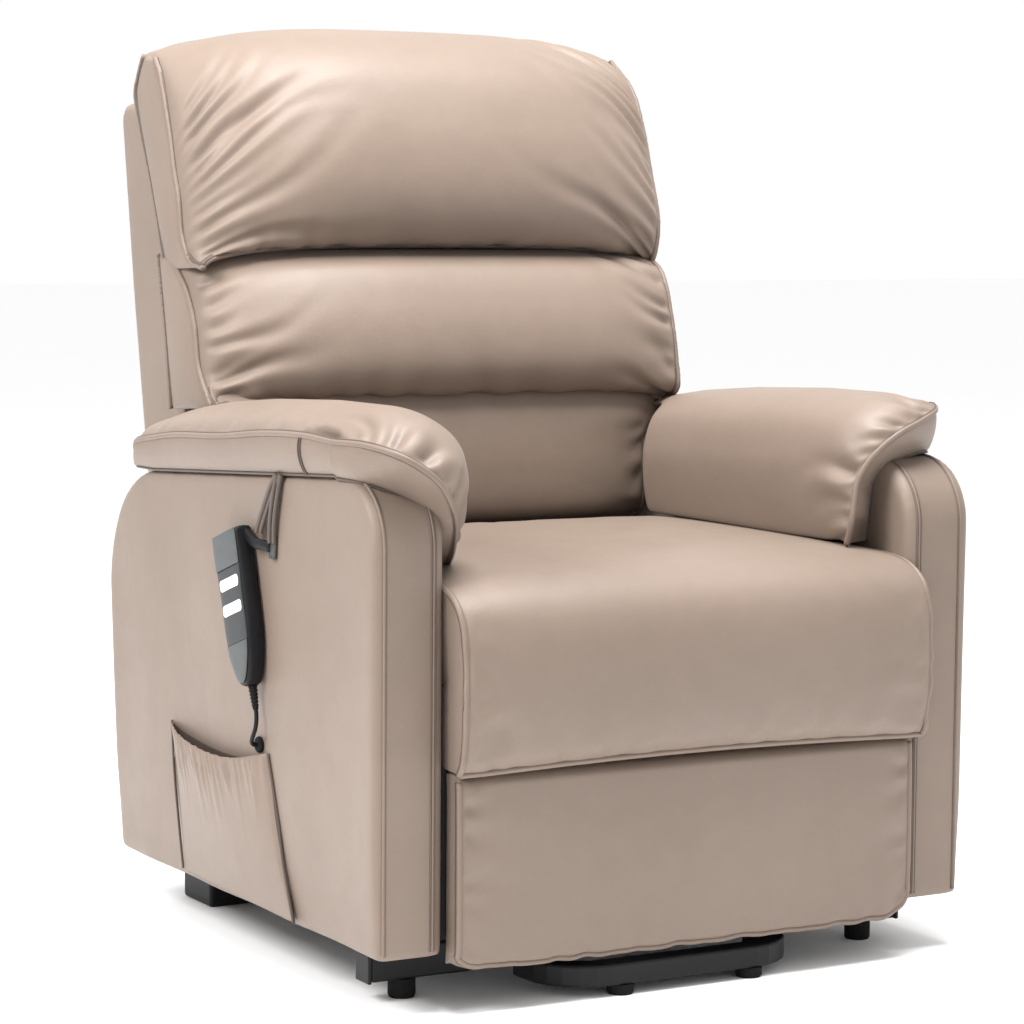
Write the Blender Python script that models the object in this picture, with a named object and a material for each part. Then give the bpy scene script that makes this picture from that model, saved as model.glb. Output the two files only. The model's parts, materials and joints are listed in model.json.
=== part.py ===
"""Lift recliner chair: a steel lift base, a seat frame with arms, a reclining back and a folding footrest.

Metres, +Z up, the chair faces -Y, and +X is on the right of someone who looks at its front. Side-view
places are (y, z) pairs measured from the chair's own zero, and chair_origin moves that zero so that the
origin lies under the middle of the whole chair.
"""

import math

import bmesh
import bpy
from mathutils import Vector

# ---------------------------------------------------------------- driving dimensions
ORIGIN_SHIFT_Y = -0.069
GAP = 0.0003

# Arms: side panels with a rounded front top and a larger rounded rear top.
ARM_INNER = 0.3020
ARM_OUTER = 0.3850
ARM_FRONT = -0.3570
ARM_REAR = 0.3750
ARM_REAR_FOOT = 0.3520
ARM_BOTTOM = 0.0680
ARM_TOP_FRONT = 0.5720
ARM_TOP_REAR = 0.5460
ARM_FRONT_RADIUS = 0.0740
ARM_REAR_RADIUS = 0.1500

# Arm pads: they lie on the arm and roll down its inner side to the seat.
PAD_OUTER = 0.3970
PAD_INNER = 0.2500
PAD_SEAT_LEVEL = 0.4765
PAD_FRONT = -0.3980
PAD_REAR = 0.2790
PAD_ROLL_REAR = 0.1850

# Seat, footrest and back.
SEAT_HALF = 0.2965
SEAT_FRONT = -0.4120
SEAT_TOP = 0.4720
SEAT_BOTTOM = 0.3540
SEAT_REAR = 0.1650
ROLL_BOTTOM = 0.2640
ROLL_BACK = -0.3260
FOOTREST_HALF = 0.2940
FOOTREST_LOW = 0.0500
FOOTREST_HIGH = 0.2560
FOOTREST_FRONT = -0.3760
FOOTREST_PAD_BACK = -0.3465
FOOTREST_BOARD_BACK = -0.3360
BACK_HALF = 0.2965
PILLOW_HALF = 0.3200

# Joint axes, all along X, as (y, z).
LIFT_ARM_PIVOT = (0.2700, 0.1000)
CHASSIS_PIVOT = (-0.1300, 0.1300)
UPPER_LINK_PIVOT = (0.1000, 0.1330)
UPPER_LINK_END = (-0.2010, 0.1510)
MOTOR_PIVOT = (-0.2000, 0.0850)
LIFT_LEVER_END = (0.1990, 0.1840)
BACK_PIVOT = (0.2000, 0.4000)
LINK_1_PIVOT = (-0.2400, 0.2240)
LINK_2_PIVOT = (-0.1240, 0.1723)
LINK_3_PIVOT = (-0.0813, 0.3036)
FOOTREST_PIVOT = (-0.3250, 0.2150)
HANDSET_PIVOT = (-0.1000, 0.4880)

# Lanes across the chair, as (inner |x|, outer |x|), so that links pass beside each other.
LANE_SIDE_PLATE = (0.2880, 0.3017)
LANE_LINK_1 = (0.2790, 0.2850)
LANE_LINK_2 = (0.2710, 0.2770)
LANE_LINK_3 = (0.2630, 0.2690)
LANE_BRACKET = (0.2520, 0.2580)
LANE_LIFT_ARM = (0.2410, 0.2490)
LANE_UPPER_LINK = (0.2290, 0.2360)
LANE_LINK_EAR = (0.2180, 0.2240)
MOTOR_X = -0.0500

# Base tubes.
BASE_TUBE_TOP = 0.0600
BASE_FRONT = (-0.2800, -0.2500)
BOW_CORNERS = (-0.1040, 0.0860)
BASE_REAR = (0.2650, 0.2950)
BASE_HALF = 0.3500

PIN_RADIUS = 0.0040
RUNNING_CLEARANCE = 0.0004
OPEN_CLEARANCE = 0.0030
ROD_EYE_CLEARANCE = 0.0048
SIDES = 16

# Handset, on the arm at -X: its middle line runs from the top to the bottom, leaning forward.
HANDSET_TOP = (-0.0260, 0.4960)
HANDSET_BOTTOM = (-0.0800, 0.3260)
HANDSET_BACK = -0.3905
HANDSET_FACE = -0.4115
GROMMET = (-0.0760, 0.2575)
BUTTON_TRAVEL = 0.0010
BUTTON_UP = (HANDSET_FACE, -0.0442, 0.4388)
BUTTON_DOWN = (HANDSET_FACE, -0.0529, 0.4112)

BODY_PIVOTS = {
    "base": (0.0, 0.0, 0.0),
    "lift_arm": (0.0, *LIFT_ARM_PIVOT),
    "upper_link": (0.0, *UPPER_LINK_PIVOT),
    "lift_motor": (MOTOR_X, *MOTOR_PIVOT),
    "lift_rod": (MOTOR_X, *MOTOR_PIVOT),
    "chassis": (0.0, *CHASSIS_PIVOT),
    "backrest": (0.0, *BACK_PIVOT),
    "footrest_link_1": (0.0, *LINK_1_PIVOT),
    "footrest_link_2": (0.0, *LINK_2_PIVOT),
    "footrest_link_3": (0.0, *LINK_3_PIVOT),
    "footrest": (0.0, *FOOTREST_PIVOT),
    "handset": (HANDSET_BACK, *HANDSET_PIVOT),
    "button_up": BUTTON_UP,
    "button_down": BUTTON_DOWN,
}

MATERIALS = {
    "leather": ((0.475, 0.352, 0.270), 0.45, 0.0),
    "black_steel": ((0.012, 0.012, 0.013), 0.38, 0.6),
    "zinc_steel": ((0.55, 0.55, 0.56), 0.35, 1.0),
    "black_rubber": ((0.015, 0.015, 0.015), 0.80, 0.0),
    "black_plastic": ((0.014, 0.014, 0.015), 0.42, 0.0),
    "grey_plastic": ((0.085, 0.088, 0.090), 0.48, 0.0),
    "white_plastic": ((0.85, 0.85, 0.84), 0.40, 0.0),
    "deck_fabric": ((0.030, 0.030, 0.032), 0.90, 0.0),
    "cord_sheath": ((0.013, 0.013, 0.014), 0.50, 0.0),
}


# ---------------------------------------------------------------- scene, materials and bodies
def clear_scene():
    for obj in list(bpy.data.objects):
        bpy.data.objects.remove(obj, do_unlink=True)


def make_materials():
    for name, (color, roughness, metallic) in MATERIALS.items():
        material = bpy.data.materials.new(name)
        material.use_nodes = True
        shader = material.node_tree.nodes["Principled BSDF"]
        shader.inputs["Base Color"].default_value = (*color, 1.0)
        shader.inputs["Roughness"].default_value = roughness
        shader.inputs["Metallic"].default_value = metallic


def make_bodies():
    """One empty for each moving body, on its joint's axis, all under the empty at the origin."""
    origin = bpy.data.objects.new("chair_origin", None)
    origin.location = (0.0, ORIGIN_SHIFT_Y, 0.0)
    bpy.context.collection.objects.link(origin)
    for name, pivot in BODY_PIVOTS.items():
        empty = bpy.data.objects.new(name + "_axis", None)
        empty.parent = origin
        empty.location = pivot
        bpy.context.collection.objects.link(empty)


def add_object(name, data, material, body):
    """Links an object whose data is in the chair's own coordinates, under its body's empty."""
    obj = bpy.data.objects.new(name, data)
    own_material = bpy.data.materials[material].copy()
    own_material.name = name + "_" + material
    data.materials.append(own_material)
    bpy.context.collection.objects.link(obj)
    obj.parent = bpy.data.objects[body + "_axis"]
    obj.location = -Vector(BODY_PIVOTS[body])
    return obj


def from_bmesh(name, bm, material, body):
    bmesh.ops.recalc_face_normals(bm, faces=bm.faces)
    mesh = bpy.data.meshes.new(name)
    bm.to_mesh(mesh)
    bm.free()
    mesh.shade_smooth()
    mesh.set_sharp_from_angle(angle=math.radians(35))
    return add_object(name, mesh, material, body)


# ---------------------------------------------------------------- outlines
def arc(center, radius, start, end, steps):
    """Points on a circle from start to end degrees, both included."""
    angles = [math.radians(start + (end - start) * i / steps) for i in range(steps + 1)]
    return [(center[0] + radius * math.cos(a), center[1] + radius * math.sin(a)) for a in angles]


def capsule(first, second, radius, steps=5):
    """A bar with round ends between two points."""
    direction = math.degrees(math.atan2(second[1] - first[1], second[0] - first[0]))
    far = arc(second, radius, direction - 90, direction + 90, steps)
    near = arc(first, radius, direction + 90, direction + 270, steps)
    return far + near


def rectangle(low, high):
    return [(low[0], low[1]), (high[0], low[1]), (high[0], high[1]), (low[0], high[1])]


def rounded_rectangle(low, high, radius, steps=3):
    outline = []
    corners = ((high[0], low[1], 270), (high[0], high[1], 0), (low[0], high[1], 90), (low[0], low[1], 180))
    for u, v, start in corners:
        center = (
            u + (radius if u == low[0] else -radius),
            v + (radius if v == low[1] else -radius),
        )
        outline += arc(center, radius, start, start + 90, steps)
    return outline


# ---------------------------------------------------------------- solids
def bridge(bm, rings):
    """Joins rings of the same number of points, and closes both ends."""
    loops = [[bm.verts.new(point) for point in ring] for ring in rings]
    count = len(loops[0])
    for first, second in zip(loops, loops[1:]):
        for i in range(count):
            j = (i + 1) % count
            bm.faces.new((first[i], first[j], second[j], second[i]))
    bm.faces.new(loops[0])
    bm.faces.new(reversed(loops[-1]))


def loft(name, rings, material, body):
    bm = bmesh.new()
    bridge(bm, rings)
    return from_bmesh(name, bm, material, body)


def place(axis, u, v, w):
    """The point at (u, v) of an outline and w along the axis that it is extruded on."""
    return {"X": (w, u, v), "Y": (u, w, v), "Z": (u, v, w)}[axis]


def prism(name, outline, axis, low, high, material, body, bevel=0.0):
    """An outline extruded along an axis: (y, z) along X, (x, z) along Y, (x, y) along Z."""
    rings = [[place(axis, u, v, w) for u, v in outline] for w in (low, high)]
    obj = loft(name, rings, material, body)
    if bevel:
        modifier = obj.modifiers.new("Bevel", "BEVEL")
        modifier.width = bevel
        modifier.segments = 2
        modifier.limit_method = "ANGLE"
        modifier.angle_limit = math.radians(50)
    return obj


def block(name, low, high, material, body, bevel=0.0):
    outline = rectangle((low[1], low[2]), (high[1], high[2]))
    return prism(name, outline, "X", low[0], high[0], material, body, bevel)


def rod(name, start, end, radius, material, body, sides=SIDES):
    """A round bar between two points."""
    start, end = Vector(start), Vector(end)
    along = (end - start).normalized()
    across = along.orthogonal().normalized()
    up = along.cross(across)
    rings = []
    for center in (start, end):
        angles = [2 * math.pi * i / sides for i in range(sides)]
        rings.append([center + radius * (math.cos(a) * across + math.sin(a) * up) for a in angles])
    return loft(name, rings, material, body)


def pin(name, center, low, high, radius, material, body, sides=SIDES):
    """A round bar along X."""
    return rod(name, (low, *center), (high, *center), radius, material, body, sides)


def combine(obj, others, operation):
    """A Boolean with helper solids, which are then hidden."""
    for other in others:
        other.hide_render = True
        other.display_type = "WIRE"
        modifier = obj.modifiers.new(operation.title(), "BOOLEAN")
        modifier.operation = operation
        modifier.solver = "EXACT"
        modifier.object = other
    return obj


def union(obj, *others):
    return combine(obj, others, "UNION")


def cut(obj, *others):
    return combine(obj, others, "DIFFERENCE")


def hole(center, low, high, radius, body, label):
    """A cutter along X that runs past both faces of a plate."""
    margin = 0.002
    return pin(label + "_cutter", center, low - margin, high + margin, radius, "zinc_steel", body)


def span(side, lane):
    """A lane's low and high x on one side, -1 or 1."""
    return tuple(sorted((side * lane[0], side * lane[1])))


def side_name(side):
    """+X is the sitter's left."""
    return "left" if side > 0 else "right"


SIDE_SIGNS = (1, -1)


# ---------------------------------------------------------------- lift base
def base_tubes():
    low = BASE_TUBE_TOP - 0.038
    front = rectangle((BASE_FRONT[0], low), (BASE_FRONT[1], BASE_TUBE_TOP))
    tube = prism("base_front_tube", front, "X", -BASE_HALF, BASE_HALF, "black_steel", "base", 0.003)
    ears = []
    for index, offset in enumerate((-0.020, 0.020)):
        outline = [(-0.278, 0.050), (-0.252, 0.050), (-0.190, 0.075)]
        outline += arc(MOTOR_PIVOT, 0.013, -30, 150, 5)
        outline += [(-0.262, 0.070)]
        x = MOTOR_X + offset
        ears.append(prism(f"motor_ear_{index}", outline, "X", x - 0.003, x + 0.003, "black_steel", "base"))
    shaft = pin("motor_pin", MOTOR_PIVOT, MOTOR_X - 0.022, MOTOR_X + 0.022, PIN_RADIUS, "zinc_steel", "base")
    union(tube, *ears, shaft)
    for side in SIDE_SIGNS:
        outline = rectangle((BASE_FRONT[0] - 0.001, low - 0.001), (BASE_FRONT[1] + 0.001, BASE_TUBE_TOP + 0.001))
        ends = sorted((side * (BASE_HALF + GAP), side * (BASE_HALF + 0.005)))
        name = f"base_cap_{side_name(side)}"
        prism(name, outline, "X", *ends, "black_plastic", "base", 0.0015)
    rear = rectangle((BASE_REAR[0], low + 0.014), (BASE_REAR[1], BASE_TUBE_TOP))
    prism("base_rear_tube", rear, "X", -0.318, 0.318, "black_steel", "base", 0.003)


def base_rails():
    low = BASE_TUBE_TOP - 0.017
    for side in SIDE_SIGNS:
        ends = span(side, (0.288, 0.314))
        low_corner = (ends[0], BASE_FRONT[1] + GAP, low)
        high_corner = (ends[1], BASE_REAR[0] - GAP, BASE_TUBE_TOP)
        block(f"base_rail_{side_name(side)}", low_corner, high_corner, "black_steel", "base", 0.002)


def base_mid_tube():
    """The cross tube that carries the upper links' ears."""
    outline = rectangle((0.075, BASE_TUBE_TOP - 0.024), (0.125, BASE_TUBE_TOP))
    tube = prism("base_mid_tube", outline, "X", -0.2877, 0.2877, "black_steel", "base")
    ears = []
    for side in SIDE_SIGNS:
        low, high = span(side, LANE_LINK_EAR)
        ear = [(0.080, 0.050), (0.120, 0.050)] + arc(UPPER_LINK_PIVOT, 0.013, 0, 180, 6)
        ears.append(prism(f"link_ear_{side}", ear, "X", low, high, "black_steel", "base"))
        tip = side * (LANE_UPPER_LINK[1] + 0.001)
        ends = sorted((side * (LANE_LINK_EAR[0] + 0.001), tip))
        ears.append(pin(f"link_ear_pin_{side}", UPPER_LINK_PIVOT, *ends, PIN_RADIUS, "zinc_steel", "base"))
    union(tube, *ears)


def base_brackets():
    """Side brackets that carry the lift arms' rear pivots."""
    for side in SIDE_SIGNS:
        low, high = span(side, LANE_BRACKET)
        outline = [(0.215, BASE_TUBE_TOP + GAP), (0.295, BASE_TUBE_TOP + GAP)]
        outline += arc(LIFT_ARM_PIVOT, 0.018, 0, 180, 8)
        bracket = prism(f"base_bracket_{side_name(side)}", outline, "X", low, high, "black_steel", "base")
        foot_ends = sorted((side * LANE_BRACKET[0], side * 0.314))
        foot = block(
            f"bracket_foot_{side}",
            (foot_ends[0], 0.215, BASE_TUBE_TOP + GAP),
            (foot_ends[1], 0.262, BASE_TUBE_TOP + 0.005),
            "black_steel",
            "base",
        )
        union(bracket, foot)
        radius = PIN_RADIUS + 0.001 + RUNNING_CLEARANCE
        cut(bracket, hole(LIFT_ARM_PIVOT, low, high, radius, "base", f"bracket_{side}"))


def bow_outline():
    """The bowed front tube seen from above, as (x, y): a flat U that opens towards the back."""
    back = BASE_FRONT[0] - 0.0013
    left, right = BOW_CORNERS
    outer = [(left - 0.072, back)] + arc((left, -0.306), 0.072, 180, 270, 6)
    outer += arc((right, -0.306), 0.072, 270, 360, 6) + [(right + 0.072, back)]
    inner = [(right + 0.044, back)] + arc((right, -0.306), 0.044, 360, 270, 6)
    inner += arc((left, -0.306), 0.044, 270, 180, 6) + [(left - 0.044, back)]
    return outer + inner


def base_bow():
    prism("base_bow_tube", bow_outline(), "Z", 0.0120, 0.0370, "black_steel", "base", 0.003)


def base_feet():
    spots = {
        "foot_outer": (0.306, sum(BASE_FRONT) / 2, 0.022),
        "foot_inner": (0.085, -0.3640, 0.012),
    }
    for label, (x, y, top) in spots.items():
        for side in SIDE_SIGNS:
            rings = []
            for z, radius in ((0.0, 0.0140), (0.0030, 0.0155), (top - GAP, 0.0155)):
                angles = [2 * math.pi * i / SIDES for i in range(SIDES)]
                rings.append([(side * x + radius * math.cos(a), y + radius * math.sin(a), z) for a in angles])
            loft(f"{label}_{side_name(side)}", rings, "black_rubber", "base")
    for side in SIDE_SIGNS:
        ends = span(side, (0.236, 0.310))
        top = BASE_TUBE_TOP - 0.024 - GAP
        name = f"rear_foot_{side_name(side)}"
        block(name, (ends[0], 0.238, 0.0), (ends[1], 0.320, top), "black_plastic", "base", 0.004)


# ---------------------------------------------------------------- lift linkage
def lift_arms():
    for side in SIDE_SIGNS:
        low, high = span(side, LANE_LIFT_ARM)
        outline = capsule(LIFT_ARM_PIVOT, CHASSIS_PIVOT, 0.014)
        arm = prism(f"lift_arm_{side_name(side)}", outline, "X", low, high, "black_steel", "lift_arm")
        ends = sorted((side * (LANE_LIFT_ARM[0] + 0.001), side * LANE_BRACKET[1]))
        rear_pin = pin(f"lift_pin_{side}", LIFT_ARM_PIVOT, *ends, PIN_RADIUS + 0.001, "zinc_steel", "lift_arm")
        union(arm, rear_pin)
        radius = PIN_RADIUS + 0.001 + RUNNING_CLEARANCE
        cut(arm, hole(CHASSIS_PIVOT, low, high, radius, "lift_arm", f"lift_arm_{side}"))


def lift_cross_tube():
    """The tube that joins the lift arms, with the lever that the push rod moves."""
    reach = LANE_LIFT_ARM[0] - GAP
    tube = pin("lift_cross_tube", LIFT_ARM_PIVOT, -reach, reach, 0.013, "black_steel", "lift_arm")
    plates = []
    for index, offset in enumerate((-0.011, 0.011)):
        x = MOTOR_X + offset
        outline = capsule(LIFT_ARM_PIVOT, LIFT_LEVER_END, 0.012)
        plates.append(prism(f"lever_{index}", outline, "X", x - 0.003, x + 0.003, "black_steel", "lift_arm"))
    ends = (MOTOR_X - 0.012, MOTOR_X + 0.012)
    shaft = pin("lever_pin", LIFT_LEVER_END, *ends, PIN_RADIUS, "zinc_steel", "lift_arm")
    union(tube, *plates, shaft)


def upper_links():
    """The second lift link of each side. Its front pivot is the linkage's open one, with play round the pin."""
    for side in SIDE_SIGNS:
        low, high = span(side, LANE_UPPER_LINK)
        outline = capsule(UPPER_LINK_PIVOT, UPPER_LINK_END, 0.012)
        link = prism(f"upper_link_{side_name(side)}", outline, "X", low, high, "black_steel", "upper_link")
        running = PIN_RADIUS + RUNNING_CLEARANCE
        rear = hole(UPPER_LINK_PIVOT, low, high, running, "upper_link", f"upper_rear_{side}")
        open_end = PIN_RADIUS + OPEN_CLEARANCE
        front = hole(UPPER_LINK_END, low, high, open_end, "upper_link", f"upper_front_{side}")
        cut(link, rear, front)


def along_actuator(distance, offset=0.0):
    """A point on the actuator's line, that far from the motor's pivot, moved sideways in the side view."""
    start, end = Vector(MOTOR_PIVOT), Vector(LIFT_LEVER_END)
    direction = (end - start).normalized()
    normal = Vector((-direction[1], direction[0]))
    y, z = start + direction * distance + normal * offset
    return (MOTOR_X, y, z)


def actuator_slab(name, start, end, half_height, half_width, offset, body, bevel=0.0):
    """A block in line with the actuator."""
    low, high = offset - half_height, offset + half_height
    corners = ((start, low), (end, low), (end, high), (start, high))
    outline = [along_actuator(*corner)[1:] for corner in corners]
    ends = (MOTOR_X - half_width, MOTOR_X + half_width)
    return prism(name, outline, "X", *ends, "black_plastic", body, bevel)


def lift_motor():
    tongue_end = along_actuator(0.030)[1:]
    tongue = capsule(MOTOR_PIVOT, tongue_end, 0.011)
    half = 0.014
    motor = prism("lift_motor", tongue, "X", MOTOR_X - half, MOTOR_X + half, "black_plastic", "lift_motor")
    gearbox = actuator_slab("gearbox", 0.022, 0.080, 0.027, 0.030, 0.010, "lift_motor", 0.004)
    sleeve = rod("sleeve", along_actuator(0.070), along_actuator(0.300), 0.019, "black_plastic", "lift_motor")
    start, end = along_actuator(0.070, 0.048), along_actuator(0.165, 0.048)
    drum = rod("motor_drum", start, end, 0.026, "black_plastic", "lift_motor")
    saddle = actuator_slab("saddle", 0.070, 0.150, 0.014, 0.012, 0.024, "lift_motor")
    union(motor, gearbox, sleeve, drum, saddle)
    bore = rod("bore_cutter", along_actuator(0.150), along_actuator(0.310), 0.0108, "zinc_steel", "lift_motor")
    eye = hole(MOTOR_PIVOT, MOTOR_X - half, MOTOR_X + half, PIN_RADIUS + RUNNING_CLEARANCE, "lift_motor", "motor_eye")
    cut(motor, bore, eye)


def lift_rod():
    """The push rod. Its eye is an open pivot, with play round the lever's pin."""
    start, end = Vector(MOTOR_PIVOT), Vector(LIFT_LEVER_END)
    length = (end - start).length
    shaft = rod("lift_rod", along_actuator(0.170), along_actuator(length - 0.026), 0.0100, "zinc_steel", "lift_rod")
    tongue = capsule(along_actuator(length - 0.042)[1:], LIFT_LEVER_END, 0.012)
    half = 0.0070
    eye = prism("rod_eye", tongue, "X", MOTOR_X - half, MOTOR_X + half, "zinc_steel", "lift_rod")
    union(shaft, eye)
    radius = PIN_RADIUS + ROD_EYE_CLEARANCE
    cut(shaft, hole(LIFT_LEVER_END, MOTOR_X - half, MOTOR_X + half, radius, "lift_rod", "rod_eye"))


# ---------------------------------------------------------------- seat frame
def seat_side_outline():
    ear = arc(BACK_PIVOT, 0.020, -20, 200, 8)
    return [(-0.318, 0.170), (0.325, 0.170), (0.325, 0.285), (0.262, 0.290)] + ear + [(0.165, 0.345), (-0.318, 0.345)]


def seat_sides():
    for side in SIDE_SIGNS:
        low, high = span(side, LANE_SIDE_PLATE)
        name = f"seat_side_{side_name(side)}"
        plate = prism(name, seat_side_outline(), "X", low, high, "black_steel", "chassis")
        radius = PIN_RADIUS + RUNNING_CLEARANCE
        back_hole = hole(BACK_PIVOT, low, high, radius, "chassis", f"back_{side}")
        link_hole = hole(LINK_1_PIVOT, low, high, radius, "chassis", f"link_{side}")
        cut(plate, back_hole, link_hole)


def seat_tubes():
    """Cross tubes between the side plates. The front one carries the lift linkage's brackets."""
    reach = LANE_SIDE_PLATE[0] - GAP
    outline = rectangle((-0.184, 0.308), (-0.156, 0.336))
    front = prism("seat_front_tube", outline, "X", -reach, reach, "black_steel", "chassis")
    parts = []
    for side in SIDE_SIGNS:
        low, high = span(side, LANE_BRACKET)
        bracket = [(-0.183, 0.320), (-0.214, 0.165)] + arc(UPPER_LINK_END, 0.013, 170, 260, 3)
        bracket += arc(CHASSIS_PIVOT, 0.014, 250, 380, 5) + [(-0.157, 0.320)]
        parts.append(prism(f"lift_bracket_{side}", bracket, "X", low, high, "black_steel", "chassis"))
        ends = sorted((side * (LANE_BRACKET[0] + 0.001), side * (LANE_LIFT_ARM[0] - 0.001)))
        parts.append(pin(f"chassis_pin_{side}", CHASSIS_PIVOT, *ends, PIN_RADIUS + 0.001, "zinc_steel", "chassis"))
        ends = sorted((side * (LANE_BRACKET[0] + 0.001), side * (LANE_UPPER_LINK[0] - 0.001)))
        parts.append(pin(f"upper_pin_{side}", UPPER_LINK_END, *ends, PIN_RADIUS, "zinc_steel", "chassis"))
    union(front, *parts)
    middle = rectangle((0.048, 0.213), (0.072, 0.237))
    prism("seat_mid_tube", middle, "X", -reach, reach, "black_steel", "chassis", 0.002)
    rear = rectangle((0.298, 0.228), (0.322, 0.252))
    prism("seat_rear_tube", rear, "X", -reach, reach, "black_steel", "chassis", 0.002)


def seat_deck():
    low = (-0.2875, -0.3000, 0.3453)
    high = (0.2875, 0.1280, SEAT_BOTTOM - GAP)
    block("seat_deck", low, high, "deck_fabric", "chassis")


def control_box():
    """Power supply under the deck, with its mains inlet at the back."""
    box = block("control_box", (0.120, -0.060, 0.300), (0.235, 0.040, 0.3450), "black_plastic", "chassis", 0.004)
    inlet = block("inlet_collar", (0.155, 0.036, 0.308), (0.195, 0.046, 0.336), "black_plastic", "chassis")
    recess = block("inlet_cutter", (0.161, 0.034, 0.313), (0.189, 0.050, 0.331), "black_plastic", "chassis")
    union(box, inlet)
    cut(box, recess)


def rear_panel():
    low = (-0.3015, 0.3420, 0.0750)
    high = (0.3015, 0.3500, 0.2800)
    block("rear_panel", low, high, "leather", "chassis", 0.002)


# ---------------------------------------------------------------- upholstery
def arm_outline():
    front_center = (ARM_FRONT + ARM_FRONT_RADIUS, ARM_TOP_FRONT - ARM_FRONT_RADIUS)
    rear_center = (ARM_REAR - ARM_REAR_RADIUS, ARM_TOP_REAR - ARM_REAR_RADIUS)
    outline = [(ARM_REAR_FOOT, ARM_BOTTOM)]
    outline += arc(rear_center, ARM_REAR_RADIUS, 0, 90, 10)
    outline += arc(front_center, ARM_FRONT_RADIUS, 90, 180, 8)
    return outline + [(ARM_FRONT, ARM_BOTTOM)]


def arms():
    for side in SIDE_SIGNS:
        low, high = span(side, (ARM_INNER, ARM_OUTER))
        name = f"arm_{side_name(side)}"
        prism(name, arm_outline(), "X", low, high, "leather", "chassis", 0.006)


def pad_bottom(y):
    """The pad's underside follows the arm's top, and goes on level in front of it."""
    front = ARM_FRONT + ARM_FRONT_RADIUS
    share = (y - front) / (ARM_REAR - ARM_REAR_RADIUS - front)
    level = ARM_TOP_FRONT + (ARM_TOP_REAR - ARM_TOP_FRONT) * min(max(share, 0.0), 1.0)
    return level + 0.0010


def pad_ring(y, side, crown, roll):
    """One cross-section of an arm pad. roll is 1 where it reaches the seat, 0 where it only lies on the arm."""
    bottom = pad_bottom(y)
    inner = ARM_INNER - 0.0060
    lip = bottom - 0.0030
    reach = inner + (PAD_INNER - inner) * roll
    low = lip + (PAD_SEAT_LEVEL - lip) * roll
    flat = 1 - roll
    points = [
        (ARM_OUTER + 0.002, bottom),
        (PAD_OUTER, crown - 0.042),
        (PAD_OUTER - 0.016, crown - 0.018),
        (ARM_OUTER - 0.045, crown - 0.002),
        (ARM_INNER + 0.012, crown - 0.002),
        (reach + (inner - reach) * 0.45, crown - 0.012 - 0.010 * flat),
        (reach + (inner - reach) * 0.10, crown - 0.060 * roll - 0.022 * flat),
        (reach, low + (crown - low) * 0.35),
        (reach + 0.004 * roll, low + 0.012 * roll + 0.004 * flat),
        (reach + 0.016 * roll + 0.002 * flat, low),
        (ARM_INNER - 0.0010, low),
        (ARM_INNER - 0.0010, bottom),
    ]
    return [(side * x, y, z) for x, z in points]


def arm_pads():
    for side in SIDE_SIGNS:
        stations = [
            (PAD_FRONT, 0.596, 1.0),
            (PAD_FRONT + 0.018, 0.622, 1.0),
            (-0.340, 0.642, 1.0),
            (-0.280, 0.650, 1.0),
            (-0.150, 0.650, 1.0),
            (0.000, 0.642, 1.0),
            (0.110, 0.632, 1.0),
            (0.160, 0.626, 0.92),
            (PAD_ROLL_REAR, 0.622, 0.35),
            (0.200, 0.619, 0.0),
            (PAD_REAR - 0.015, 0.606, 0.0),
            (PAD_REAR, 0.592, 0.0),
        ]
        rings = [pad_ring(y, side, crown, roll) for y, crown, roll in stations]
        loft(f"arm_pad_{side_name(side)}", rings, "leather", "chassis")


def seat_cushion():
    outline = [(0.130, SEAT_BOTTOM), (SEAT_REAR, 0.440), (SEAT_REAR - 0.004, SEAT_TOP - 0.006)]
    outline += [(0.0, SEAT_TOP), (-0.300, SEAT_TOP)]
    outline += [(-0.352, SEAT_TOP - 0.004), (-0.386, SEAT_TOP - 0.014), (-0.404, 0.4350)]
    outline += [(SEAT_FRONT, 0.390), (SEAT_FRONT + 0.004, 0.320), (-0.3960, ROLL_BOTTOM + 0.006)]
    outline += [(-0.386, ROLL_BOTTOM), (ROLL_BACK - 0.010, ROLL_BOTTOM), (ROLL_BACK, ROLL_BOTTOM + 0.010)]
    outline += [(ROLL_BACK, SEAT_BOTTOM)]
    prism("seat_cushion", outline, "X", -SEAT_HALF, SEAT_HALF, "leather", "chassis", 0.010)


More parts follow.
